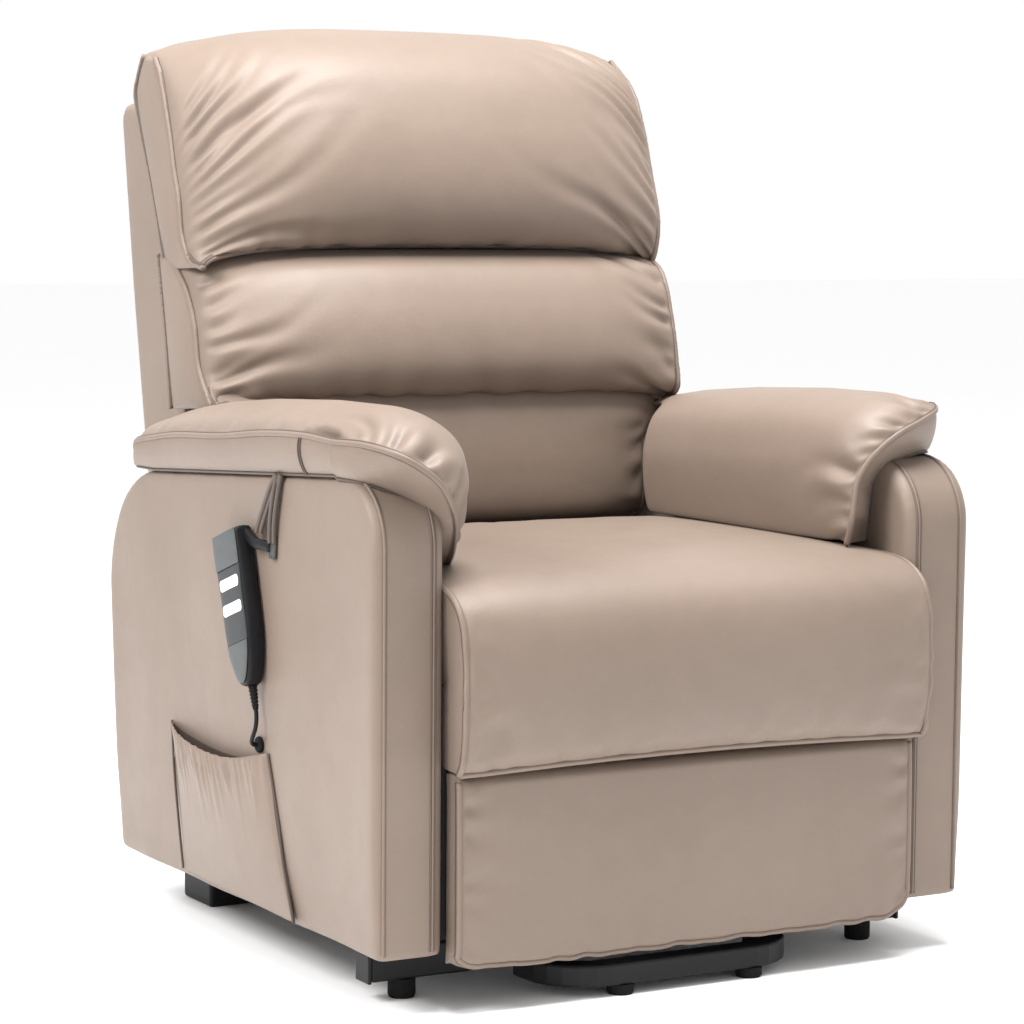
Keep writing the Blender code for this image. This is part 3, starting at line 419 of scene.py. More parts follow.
def merged(parts):
    """Several (points, faces) as one."""
    points, faces, start = [], [], 0
    for some, quads in parts:
        points.append(np.asarray(some, float))
        faces += [[start + i for i in face] for face in quads]
        start += len(some)
    return np.vstack(points), faces


def join(name, parts, material, body, **options):
    return piece(name, *merged(parts), material, body, **options)


def soften(obj):
    modifier = obj.modifiers.new("Subdivision", "SUBSURF")
    modifier.levels = modifier.render_levels = 1


def cover(name, points, faces, body, node):
    """A soft leather piece that takes the place of a node."""
    obj = piece(name, points, faces, "leather", body)
    soften(obj)
    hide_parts(node)
    return obj


def gathers(s, d, length, count, depth, width, reach, lean_from, lean_to, seed, start=0.0):
    """Folds that begin at a seam: s runs along the seam and d away from it. Returns a height, in metres.

    The folds lean from lean_from at the seam's start to lean_to at its end, as s gained for each d.
    """
    rng = np.random.default_rng(seed)
    total = np.zeros_like(s)
    for k in range(count):
        at = start + length * (k + 0.5 + rng.uniform(-0.38, 0.38)) / count
        lean = lean_from + (lean_to - lean_from) * (at - start) / length + rng.uniform(-0.18, 0.18)
        wide = width * rng.uniform(0.7, 1.35)
        far = reach * rng.uniform(0.45, 1.25)
        deep = depth * rng.uniform(0.45, 1.25)
        line = at + lean * d + 0.12 * d * np.sin(d / far * 2.5 + k)
        q = (s - line) / (wide * (1 + 1.3 * d / far))
        total -= deep * (1 - 1.1 * q * q) * np.exp(-q * q) * np.exp(-((d / far) ** 2))
    return total * (1 - np.exp(-((d / 0.007) ** 2)))


def grid_normals(points, outward):
    """Unit normals of a (rows, columns, 3) grid, turned to point along outward on the whole."""
    normal = np.cross(np.gradient(points, axis=0), np.gradient(points, axis=1))
    normal /= np.linalg.norm(normal, axis=2)[:, :, None] + 1e-12
    return normal * (1.0 if (normal @ np.asarray(outward, float)).sum() > 0 else -1.0)


# ---------------------------------------------------------------- cushions
def cushion(front, back, half, columns=110, strip=12, power=3.0, bulge=0.010, shape=None, fold=None):
    """A closed cushion. front and back are each (at -X, middle, at +X): outlines in the side view.

    Both run the same way. The front one swells across the chair between the two sides. Each end is a
    side band between the front outline and the back one, with a slight bulge.
    Returns the points, the faces, and the front and rear surfaces as grids, whose ends are the seams.
    """
    rows = len(front[0])
    turn = np.linspace(-np.pi / 2, np.pi / 2, columns)
    u = 0.6 * np.sin(turn) + 0.4 * turn / (np.pi / 2)
    x = u * half
    round_off = 1 - (1 - np.abs(u) ** power) ** (1 / 2.0)

    def blended(curves):
        side = np.where((u < 0)[:, None, None], curves[0][None], curves[2][None])
        flat = curves[1][None] + (side - curves[1][None]) * round_off[:, None, None]
        return np.concatenate([np.broadcast_to(x[:, None, None], (columns, rows, 1)), flat], axis=2)

    face, rear = blended(front), blended(back)
    if shape:
        face = shape(face, u)
    if fold:
        away = np.abs(half - np.abs(face[:, :, 0]))
        height = fold(np.broadcast_to(walked(front[1]), away.shape), away, face[:, :, 0])
        face = face + grid_normals(face, (0, -1, 0.3)) * height[:, :, None]
    between = np.linspace(0, 1, strip + 1)[1:-1]
    top = [face[:, -1] + (rear[:, -1] - face[:, -1]) * t for t in between]
    low = [rear[:, 0] + (face[:, 0] - rear[:, 0]) * t for t in between]
    ring = np.concatenate([face, np.stack(top, 1), rear[:, ::-1], np.stack(low, 1)], axis=1)
    count = ring.shape[1]
    points = [ring.reshape(-1, 3)]
    index = np.arange(columns * count).reshape(columns, count)
    faces = grid_faces(np.hstack([index, index[:, :1]]))
    number = columns * count
    for end, sign in ((0, -1), (columns - 1, 1)):
        first, last = face[end], rear[end]
        t = np.linspace(0, 1, strip + 1)
        cap = first[:, None] + (last - first)[:, None] * t[None, :, None]
        upward = np.sin(np.pi * np.linspace(0.02, 0.98, rows))[:, None] ** 0.3
        cap[:, :, 0] += sign * bulge * np.sin(np.pi * t)[None] ** 0.6 * upward
        places = np.empty((rows, strip + 1), int)
        places[:, 0] = index[end, :rows]
        places[:, -1] = index[end, rows + strip - 1 : 2 * rows + strip - 1][::-1]
        places[-1, 1:-1] = index[end, rows : rows + strip - 1]
        places[0, 1:-1] = index[end, 2 * rows + strip - 1 :][::-1]
        inner = cap[1:-1, 1:-1]
        places[1:-1, 1:-1] = number + np.arange(inner.shape[0] * inner.shape[1]).reshape(inner.shape[:2])
        points.append(inner.reshape(-1, 3))
        number += inner.shape[0] * inner.shape[1]
        faces += grid_faces(places)
    return np.vstack(points), faces, face, rear


def head_pillow():
    left = smooth_line([(0.239, 0.788), (0.275, 0.797), (0.299, 0.827), (0.308, 0.871), (0.321, 0.905),
                        (0.340, 0.965), (0.364, 1.022), (0.382, 1.046)], 70)
    right = smooth_line([(0.262, 0.786), (0.234, 0.797), (0.222, 0.830), (0.224, 0.860), (0.240, 0.905),
                         (0.262, 0.968), (0.290, 1.018), (0.345, 1.058)], 70)
    middle = smooth_line([(0.262, 0.815), (0.224, 0.818), (0.200, 0.850), (0.193, 0.900), (0.206, 0.965),
                          (0.240, 1.033), (0.290, 1.072), (0.350, 1.088), (0.400, 1.080)], 70)
    back_left = smooth_line([(0.350, 0.782), (0.395, 0.890), (0.440, 0.990), (0.436, 1.021),
                             (0.416, 1.050)], 70)
    back_middle = smooth_line([(0.345, 0.812), (0.385, 0.890), (0.432, 0.992), (0.440, 1.030),
                               (0.425, 1.066)], 70)

    def fold(along, away, x):
        side = gathers(along, away, 0.30, 12, 0.0085, 0.0085, 0.105, 0.25, 0.85, 11) * (x < 0)
        side += gathers(along, away, 0.36, 14, 0.0090, 0.0085, 0.110, 0.55, 1.10, 12) * (x > 0)
        side += gathers(x + 0.32, along, 0.64, 15, 0.0042, 0.0100, 0.055, -0.1, 0.1, 13)
        return side

    padded_piece("head_cushion", (left, middle, right), (back_left, back_middle, back_left), 0.3180,
                 "backrest", "head_pillow", fold, power=3.4, bulge=0.008)


def middle_pillow():
    left = smooth_line([(0.200, 0.618), (0.221, 0.630), (0.249, 0.667), (0.262, 0.719), (0.286, 0.760),
                        (0.330, 0.798)], 56)
    right = smooth_line([(0.200, 0.616), (0.170, 0.633), (0.172, 0.664), (0.187, 0.727), (0.214, 0.784),
                         (0.275, 0.806)], 56)
    middle = smooth_line([(0.215, 0.631), (0.176, 0.633), (0.157, 0.660), (0.156, 0.697), (0.170, 0.744),
                          (0.200, 0.790), (0.250, 0.811)], 56)
    back_left = smooth_line([(0.335, 0.612), (0.350, 0.700), (0.372, 0.803)], 56)

    def fold(along, away, x):
        side = gathers(along, away, 0.21, 7, 0.0075, 0.0085, 0.070, 0.55, 0.45, 21) * (x < 0)
        side += gathers(along, away, 0.23, 7, 0.0070, 0.0090, 0.080, 0.65, 0.75, 22) * (x > 0)
        side += gathers(x + 0.32, along, 0.64, 13, 0.0045, 0.0110, 0.055, -0.5, 0.6, 23)
        return side

    padded_piece("middle_cushion", (left, middle, right), (back_left, back_left, back_left), 0.3180,
                 "backrest", "middle_pillow", fold, power=3.2, bulge=0.008)


def lower_cushion():
    side = smooth_line([(0.225, 0.468), (0.200, 0.482), (0.196, 0.540), (0.206, 0.600), (0.226, 0.646)], 40)
    middle = smooth_line([(0.205, 0.464), (0.177, 0.482), (0.170, 0.536), (0.176, 0.598),
                          (0.194, 0.646)], 40)
    rear = smooth_line([(0.315, 0.470), (0.335, 0.650)], 40)

    def shape(face, u):
        face[:, :, 0] *= 1 + 0.100 * ease((face[:, :, 2] - 0.560) / 0.045)
        return face

    def fold(along, away, x):
        return gathers(along, away, 0.14, 6, 0.0030, 0.010, 0.050, 0.2, -0.2, 31)

    padded_piece("lumbar_cushion", (side, middle, side), (rear, rear, rear), 0.2840,
                 "backrest", "lower_cushion", fold, power=4.0, bulge=0.004, shape=shape)


def padded_piece(name, front, back, half, body, node, fold, **options):
    points, faces, face, rear = cushion(front, back, half, fold=fold, **options)
    obj = cover(name, points, faces, body, node)
    rng = np.random.default_rng(len(name))
    parts = []
    for end in (0, -1):
        for line in (face[end], rear[end]):
            run = even(line, 90)
            run[:, 0] += 0.0012 * np.sign(run[:, 0]) + rng.normal(0, 0.0002, len(run))
            parts.append(run)
    parts.append(even(face[:, 0], 120))
    piping(name, parts, body, obj)


def piping(name, runs, body, parent, radius=0.0034, inward=None):
    """A welt along each line, and just under it a tube of dark leather: the seam's painted shadow."""
    middle = np.vstack(runs).mean(axis=0)
    shade = []
    for run in runs:
        if inward is None:
            below = middle - run
            below[:, 0] = np.where(np.ptp(run[:, 0]) < 0.05, 0.25 * below[:, 0], 0.0)
            below /= np.linalg.norm(below, axis=1)[:, None] + 1e-9
        else:
            below = np.array(inward)
        shade.append(tube_mesh(run + below * 0.0022, radius + 0.0006, 8))
    join(name + "_piping", [tube_mesh(run, radius, 8) for run in runs], "welt", body).parent = parent
    # The _seam tubes, in the dark inner leather, are painted shadow along the welts.
    join(name + "_seam", shade, "inner", body).parent = parent


def seat_cushion():
    outer = [(0.160, 0.462), (0.120, 0.468), (0.0, 0.468), (-0.250, 0.468), (-0.330, 0.464), (-0.370, 0.453),
             (-0.393, 0.430), (-0.402, 0.390), (-0.403, 0.330), (-0.398, 0.281), (-0.388, 0.264)]
    crown = [(0.165, 0.466), (0.120, 0.476), (0.0, 0.481), (-0.230, 0.481), (-0.320, 0.476), (-0.372, 0.462),
             (-0.402, 0.434), (-0.414, 0.390), (-0.414, 0.330), (-0.405, 0.283), (-0.390, 0.264)]
    under = [(0.130, 0.356), (-0.100, 0.355), (-0.320, 0.355), (-0.330, 0.345), (-0.330, 0.285),
             (-0.340, 0.264)]
    side = smooth_line(outer, 120)
    middle = smooth_line(crown, 120)
    rear = smooth_line(under, 120)

    def shape(face, u):
        face[:, :, 0] *= 1 + 0.022 * ease((-0.290 - face[:, :, 1]) / 0.05)
        sag = 0.006 * np.cos(np.clip(u, -1, 1) * np.pi / 2)[:, None] * ease((0.40 - face[:, :, 2]) / 0.12)
        face[:, :, 2] += sag
        return face

    def fold(along, away, x):
        total = along.max()
        low = gathers(x + 0.30, total - along, 0.60, 13, 0.0036, 0.0120, 0.070, -0.3, 0.3, 41)
        front = gathers(along - total + 0.19, away, 0.19, 6, 0.0034, 0.012, 0.060, 0.3, -0.3, 42)
        back = gathers(x + 0.30, along, 0.60, 12, 0.0030, 0.012, 0.060, 0.0, 0.0, 43)
        return low + front + back

    points, faces, face, _ = cushion((side, middle, side), (rear, rear, rear), 0.2960, columns=120, strip=14,
                                     power=5.0, bulge=0.002, shape=shape, fold=fold)
    obj = cover("seat_pad", points, faces, "chassis", "seat_cushion")
    piping("seat_pad", [even(face[0], 160), even(face[-1], 160), even(face[:, -1], 120)], "chassis", obj)


def footrest_panel():
    front = [(-0.3470, 0.2605), (-0.362, 0.2610), (-0.373, 0.255), (-0.376, 0.242), (-0.377, 0.155),
             (-0.377, 0.066), (-0.3745, 0.055), (-0.366, 0.0485), (-0.3470, 0.048)]
    swell = [(y - (0.007 if y < -0.36 else 0.0), z) for y, z in front]
    side, middle = smooth_line(front, 70), smooth_line(swell, 70)
    rear = smooth_line([(-0.3466, 0.2600), (-0.3466, 0.052)], 70)

    def shape(face, u):
        edge = np.clip((np.abs(face[:, :, 0]) - 0.268) / 0.028, 0, 1)
        low = ease((0.11 - face[:, :, 2]) / 0.05)
        face[:, :, 2] += np.where(face[:, :, 0] < 0, 0.012, 0.028) * (1 - np.sqrt(1 - edge**2)) * low
        return face

    def fold(along, away, x):
        total = along.max()
        low = gathers(x + 0.29, total - along, 0.58, 14, 0.0028, 0.0100, 0.070, -0.2, 0.2, 51)
        side_folds = gathers(along, away, 0.26, 8, 0.0026, 0.010, 0.045, 0.2, -0.2, 52)
        return low + side_folds

    points, faces, face, _ = cushion((side, middle, side), (rear, rear, rear), 0.2955, columns=110, strip=8,
                                     power=6.0, bulge=0.001, shape=shape, fold=fold)
    obj = cover("footrest_cover", points, faces, "footrest", "footrest_pad")
    rows = face.shape[1]
    low = int(rows * 0.885)
    line = np.vstack([face[0, int(rows * 0.12) : low], face[:, low], face[-1, int(rows * 0.12) : low][::-1]])
    piping("footrest", [even(line, 300)], "footrest", obj, inward=(0.0, 1.0, 0.0))


# ---------------------------------------------------------------- arms and back
def soft_solid(outline, low, high, radius, voxel, passes):
    """An outline in the side view, thick along X, with rounded edges: points and faces of an even mesh."""
    bm = bmesh.new()
    rings = [[bm.verts.new((x, y, z)) for y, z in outline] for x in (low, high)]
    for i in range(len(outline)):
        j = (i + 1) % len(outline)
        bm.faces.new((rings[0][i], rings[0][j], rings[1][j], rings[1][i]))
    rim = [bm.faces.new(rings[0]), bm.faces.new(rings[1][::-1])]
    edges = {edge for face in rim for edge in face.edges}
    corners = [e for e in bm.edges if e not in edges and e.calc_face_angle(0) > math.radians(40)]
    bmesh.ops.recalc_face_normals(bm, faces=bm.faces)
    bmesh.ops.bevel(bm, geom=list(edges) + corners, offset=radius, segments=5, profile=0.5, affect="EDGES")
    mesh = bpy.data.meshes.new("soft_solid")
    bm.to_mesh(mesh)
    bm.free()
    obj = bpy.data.objects.new("soft_solid", mesh)
    COLLECTION.objects.link(obj)
    remesh = obj.modifiers.new("Remesh", "REMESH")
    remesh.mode = "VOXEL"
    remesh.voxel_size = voxel
    smooth = obj.modifiers.new("Smooth", "SMOOTH")
    smooth.iterations = passes
    smooth.factor = 0.5
    graph = bpy.context.evaluated_depsgraph_get()
    made = bpy.data.meshes.new_from_object(obj.evaluated_get(graph))
    points = np.array([v.co for v in made.vertices])
    faces = [list(p.vertices) for p in made.polygons]
    bpy.data.objects.remove(obj)
    bpy.data.meshes.remove(mesh)
    bpy.data.meshes.remove(made)
    return points, faces


def arm_outline(inset=0.0, steps=14):
    """The arm in the side view: a straight foot and two rounded upper corners."""
    front = (ARM_FRONT + ARM_FRONT_ROUND, ARM_TOP_FRONT - ARM_FRONT_ROUND)
    rear = (ARM_REAR - ARM_REAR_ROUND, ARM_TOP_REAR - ARM_REAR_ROUND)
    line = [(0.3520 - inset, ARM_FOOT + inset)]
    line += arc(rear, ARM_REAR_ROUND - inset, 0, 90, steps)
    line += arc(front, ARM_FRONT_ROUND - inset, 90, 180, steps)
    return line + [(ARM_FRONT + inset, ARM_FOOT + inset)]


def taper(points):
    """The arms stand out a little more at their middle height than at the floor."""
    lean = 1 + 0.003 * np.sin(np.clip((points[:, 2] - 0.06) / 0.5, 0, 1) * np.pi * 0.62)
    lean = lean - 0.012 * ease((0.20 - points[:, 2]) / 0.15)
    outer = np.abs(points[:, 0]) > (ARM_INNER + ARM_OUTER) / 2
    points[:, 0] = np.where(outer, points[:, 0] * lean, points[:, 0])
    return points


def arms():
    for side, name in ((1, "left"), (-1, "right")):
        reach = ARM_OUTER + (0.0050 if side > 0 else 0.0020)
        low, high = sorted((side * (ARM_INNER + 0.0006), side * reach))
        points, faces = soft_solid(arm_outline(), low, high, 0.009, 0.0055, 3)
        y, z = points[:, 1], points[:, 2]
        outer = ease((np.abs(points[:, 0]) - 0.372) / 0.010)
        swell = 0.0015 * np.sin(np.clip((y - ARM_FRONT) / 0.72, 0, 1) * np.pi)
        swell = swell * np.sin(np.clip((z - 0.068) / 0.5, 0, 1) * np.pi)
        drape = 0.0011 * np.sin(y * 31.0 + 1.7 * np.sin(z * 6.0) + side) * ease((0.56 - z) / 0.1)
        points[:, 0] += side * outer * (swell + drape)
        points = taper(points)
        obj = piece(f"arm_cover_{name}", points, faces, "leather", "chassis")
        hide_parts(f"arm_{name}")
        welts, shade = [], []
        line = np.array(arm_outline(-0.0003, 24))
        line = np.vstack([line[len(line) // 2 - 2 : -1], (line[-1][0], 0.070)])
        # The welts are the arm's seams. The thinner tubes beside them, in the seam leather, are painted
        # shadow lines.
        for x, radius, runs in (
            (ARM_OUTER - 0.0085, 0.0018, welts),
            (ARM_OUTER - 0.0108, 0.0009, shade),
            (ARM_INNER + 0.0130, 0.0010, shade),
            (ARM_INNER + 0.0155, 0.0016, welts),
            (ARM_INNER + 0.0182, 0.0010, shade),
        ):
            path = np.column_stack([np.full(len(line), side * x), line])
            runs.append(tube_mesh(even(path, 160), radius, 6))
        join(f"arm_seam_{name}", welts, "welt", "chassis").parent = obj
        join(f"arm_seam_shadow_line_{name}", shade, "seam", "chassis").parent = obj


# Lines of the arm pads, for the side at -X and the side at +X, written for a pad at +X: the piping along
# the outer side and round the front, and the lower edge of the gusset under it.
PAD_SIDE = {
    -1: [(0.397, 0.262, 0.580), (0.397, 0.145, 0.594), (0.397, 0.018, 0.601), (0.397, -0.103, 0.612),
         (0.396, -0.205, 0.616), (0.393, -0.270, 0.613)],
    1: [(0.397, 0.262, 0.580), (0.397, 0.145, 0.596), (0.397, 0.018, 0.605), (0.397, -0.103, 0.616),
        (0.396, -0.195, 0.626), (0.393, -0.262, 0.633)],
}
PAD_FRONT = {
    -1: [(0.393, -0.270, 0.613), (0.385, -0.326, 0.6135), (0.368, -0.366, 0.606), (0.345, -0.380, 0.592),
         (0.325, -0.384, 0.575), (0.305, -0.372, 0.550), (0.285, -0.343, 0.523), (0.268, -0.306, 0.494),
         (0.257, -0.275, 0.477)],
    1: [(0.393, -0.262, 0.633), (0.385, -0.290, 0.6345), (0.365, -0.318, 0.630), (0.338, -0.327, 0.620),
        (0.310, -0.330, 0.609), (0.287, -0.326, 0.593), (0.270, -0.319, 0.573), (0.260, -0.314, 0.551),
        (0.256, -0.314, 0.529), (0.253, -0.314, 0.5065), (0.252, -0.306, 0.478)],
}
GUSSET_FRONT = {
    -1: [(0.389, -0.270, 0.574), (0.384, -0.300, 0.573), (0.366, -0.322, 0.567), (0.342, -0.330, 0.557),
         (0.325, -0.336, 0.548), (0.311, -0.341, 0.535), (0.303, -0.335, 0.515), (0.301, -0.305, 0.495),
         (0.300, -0.275, 0.477)],
    1: [(0.389, -0.262, 0.578), (0.381, -0.284, 0.580), (0.360, -0.294, 0.580), (0.332, -0.295, 0.572),
        (0.314, -0.292, 0.561), (0.303, -0.287, 0.548), (0.3005, -0.283, 0.522), (0.300, -0.280, 0.499),
        (0.300, -0.278, 0.478)],
}
LAST_STATION = -0.262


def pad_bottom(y):
    share = np.clip((y + 0.283) / (0.225 + 0.283), 0, 1)
    return ARM_TOP_FRONT + (ARM_TOP_REAR - ARM_TOP_FRONT) * share + 0.0010


def pad_section(y, count, side_piping):
    """One cross-section of a pad in (x, z), from the piping over the crown and down its inner side."""
    heights = (0.651, 0.650, 0.643, 0.634, 0.624, 0.608, 0.600)
    crown = np.interp(y, (-0.30, -0.15, 0.0, 0.11, 0.185, 0.264, 0.279), heights)
    side = smooth_line(side_piping, 60)
    edge_x = np.interp(-y, -side[:, 1], side[:, 0])
    edge_z = np.interp(-y, -side[:, 1], side[:, 2])
    roll = 1 - ease((y - 0.130) / 0.060)
    reach = 0.296 + (0.246 - 0.296) * roll
    low = pad_bottom(y) - 0.002 + (0.4775 - pad_bottom(y) + 0.002) * roll
    tall = crown - low
    line = [
        (edge_x, edge_z),
        (edge_x - 0.012, edge_z + (crown - edge_z) * 0.52),
        (0.357, crown - 0.004),
        (0.325, crown),
        (0.300 - 0.010 * roll, crown - 0.010),
        (reach + 0.014, crown - 0.20 * tall),
        (reach + 0.001, crown - 0.45 * tall),
        (reach, crown - 0.70 * tall),
        (reach + 0.006, low + 0.006),
        (reach + 0.014, low),
    ]
    return smooth_line(line, count)


def arm_pads():
    count, rows, front_rows = 64, 84, 30
    for side, name in ((1, "left"), (-1, "right")):
        stations = np.linspace(0.277, LAST_STATION, rows)
        grid = np.zeros((rows, count, 3))
        for i, y in enumerate(stations):
            section = pad_section(y, count, PAD_SIDE[side])
            shrink = math.sqrt(max(0.0, 1 - max(0.0, (y - 0.252) / 0.025) ** 2))
            base = pad_bottom(y) + 0.004
            grid[i, :, 0] = 0.345 + (section[:, 0] - 0.345) * (0.80 + 0.20 * shrink)
            grid[i, :, 1] = y
            grid[i, :, 2] = base + (section[:, 1] - base) * (0.15 + 0.85 * shrink)
        last, front = grid[-1], smooth_line(PAD_FRONT[side], count)
        t = np.linspace(0, 1, front_rows + 1)[1:, None, None]
        ahead, down = np.sin(t * np.pi / 2), 1 - np.cos(t * np.pi / 2)
        cap = last + (front - last) * np.concatenate([down, ahead, down], axis=2)
        grid = np.concatenate([grid, cap])
        side_line = grid[:, 0]
        distance = np.zeros(grid.shape[:2])
        flow = np.linalg.norm(np.diff(grid, axis=0), axis=2)
        distance[:-1] = np.cumsum(flow[::-1], axis=0)[::-1]
        along = np.broadcast_to(walked(front), distance.shape)
        height = gathers(along, distance, 0.30, 14, 0.0075, 0.0070, 0.055, 0.0, 0.0, 61 + side)
        height *= ease((rows + front_rows - 1 - np.arange(rows + front_rows))[:, None] / 2.0)
        across = np.concatenate([np.zeros((rows + front_rows, 1)),
                                 np.cumsum(np.linalg.norm(np.diff(grid, axis=1), axis=2), axis=1)], axis=1)
        run = np.broadcast_to(walked(side_line)[:, None], across.shape)
        height = height + gathers(run, across, 0.60, 12, 0.0032, 0.012, 0.035, 0.2, -0.2, 71 + side)
        grid = grid + grid_normals(grid, (0.2, 0, 1)) * height[:, :, None]
        edge = np.concatenate([side_line, front[1:]])
        foot_side = side_line.copy()
        foot_side[:, 0] = 0.3885
        foot_side[:, 2] = pad_bottom(side_line[:, 1])
        foot_front = smooth_line(GUSSET_FRONT[side], count)
        blend_rows = ease((np.arange(len(side_line)) - rows) / front_rows)[:, None]
        foot_side = foot_side * (1 - blend_rows) + foot_front[0] * blend_rows
        foot = np.concatenate([foot_side, foot_front[1:]])
        steps = np.linspace(0, 1, 11)
        band = edge[:, None] + (foot - edge)[:, None] * steps[None, :, None]
        outward = np.gradient(edge, axis=0)
        outward = np.column_stack([-outward[:, 1], outward[:, 0], np.zeros(len(edge))])
        outward /= np.linalg.norm(outward, axis=1)[:, None] + 1e-9
        outward *= np.sign(outward[:1, 0])
        band += outward[:, None] * (0.0058 * np.sin(steps * np.pi) ** 0.7)[None, :, None]
        seam_row = int(np.argmin(np.abs(edge[: len(side_line), 1] + 0.195)))
        inner_foot = np.column_stack([np.full(len(foot), 0.3060), foot[:, 1:]])
        under = foot[:, None] + (inner_foot - foot)[:, None] * np.linspace(0, 1, 7)[None, :, None]
        under[:, 1:, 2] += 0.0012
        flip = np.array((side, 1, 1))
        points, faces = merged([open_sheet(part * flip) for part in (grid, band, under)])
        obj = cover(f"arm_cushion_{name}", points, faces, "chassis", f"arm_pad_{name}")
        upright = even(band[seam_row] + outward[seam_row] * 0.0006, 16)
        welt = tube_mesh(even(edge, 260) * flip, 0.0037, 8)
        rim = even(edge, 260)
        # Painted shadow lines in the dark inner leather: along both sides of the piping, on both sides of
        # the upright seam and along the gusset's foot.
        shade = [tube_mesh((rim + (0.0, 0.0, step)) * flip, 0.0014, 6) for step in (-0.0034, 0.0032)]
        shade += [tube_mesh((upright + (0.0, step, 0.0)) * flip, 0.0012, 6) for step in (-0.0022, 0.0022)]
        shade.append(tube_mesh(even(foot, 260) * flip, 0.0018, 6))
        join(f"arm_cushion_piping_{name}", [welt], "welt", "chassis").parent = obj
        join(f"arm_cushion_seam_shadow_{name}", shade, "inner", "chassis").parent = obj


def back_shell():
    def line(z):
        return 0.3120 + 0.212 * (z - 0.4350)

    outline = [(0.313, 0.437), (0.434, 0.450), (0.471, 0.525), (0.513, 0.742), (0.550, 0.972)]
    outline += [(0.547, 0.984), (0.537, 0.9945), (0.452, 0.993), (0.436, 0.987), (line(0.974), 0.974)]
    points, faces = soft_solid(outline, -0.2975, 0.2975, 0.007, 0.0065, 4)
    rear = ease((points[:, 1] - line(points[:, 2]) - 0.09) / 0.02)
    across = np.cos(np.clip(points[:, 0] / 0.2965, -1, 1) * np.pi / 2)
    upward = np.sin(np.clip((points[:, 2] - 0.44) / 0.55, 0, 1) * np.pi)
    points[:, 1] += rear * (0.0045 * across * upward - 0.0020)
    obj = piece("back_cover", points, faces, "leather", "backrest")
    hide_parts("back_shell")
    parts = []
    for x in (-0.2925, 0.2925):
        front = [(x, line(z) + 0.004, z) for z in np.linspace(0.45, 0.966, 40)]
        parts.append(tube_mesh(front, 0.0030, 8))
        rear_line = np.array([(0.432, 0.456), (0.464, 0.527), (0.505, 0.742), (0.541, 0.965)])
        run = even(np.column_stack([np.full(4, x), rear_line]), 80)
        parts.append(tube_mesh(run, 0.0030, 8))
    top = [(x, 0.5385, 0.9835) for x in np.linspace(-0.285, 0.285, 60)]
    parts.append(tube_mesh(top, 0.0026, 8))
    join("back_cover_piping", parts, "welt", "backrest").parent = obj


def liners():
    """Black lining cloth inside the chair: beside the footrest, behind the seat and behind the pillows."""
    for side, name in ((-1, "right"), (1, "left")):
        low, high = sorted((side * 0.2868, side * 0.3012))
        outline = [(-0.340, 0.078), (-0.330, 0.078), (-0.330, 0.350), (-0.340, 0.350)]
        strip = soft_solid(outline, low, high, 0.002, 0.004, 1)
        piece(f"side_liner_{name}", *strip, "deck_fabric", "chassis")
    core = [(0.300, 0.398), (0.330, 0.398), (0.345, 0.500), (0.440, 0.960), (0.360, 0.960), (0.320, 0.800)]
    piece("back_liner", *soft_solid(core, -0.289, 0.289, 0.004, 0.008, 2), "deck_fabric", "backrest")
    apron = smooth_line([(0.128, 0.440), (0.175, 0.436), (0.230, 0.425), (0.287, 0.406)], 24)
    across = np.linspace(-0.286, 0.286, 40)
    grid = np.zeros((40, 24, 3))
    grid[:, :, 0] = across[:, None]
    grid[:, :, 1:] = apron[None]
    grid[:, :, 2] -= 0.006 * np.cos(across * 5.4)[:, None] * np.sin(np.linspace(0, np.pi, 24))[None]
    cloth = piece("seat_apron", *open_sheet(grid), "deck_fabric", "chassis")
    solid = cloth.modifiers.new("Solidify", "SOLIDIFY")
    solid.thickness = 0.0016


def rear_panel():
    outline = [(0.343, 0.076), (0.3492, 0.076), (0.3492, 0.279), (0.343, 0.279)]
    obj = piece("rear_cover", *soft_solid(outline, -0.3005, 0.3005, 0.0028, 0.005, 2), "leather", "chassis")
    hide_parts("rear_panel")


# ---------------------------------------------------------------- pocket, strap, handset and cord
def on_handset(distance, across):
    place = HANDSET_TOP + HANDSET_DOWN * distance + np.array((-HANDSET_DOWN[1], HANDSET_DOWN[0])) * across
    return (place[0], place[1])


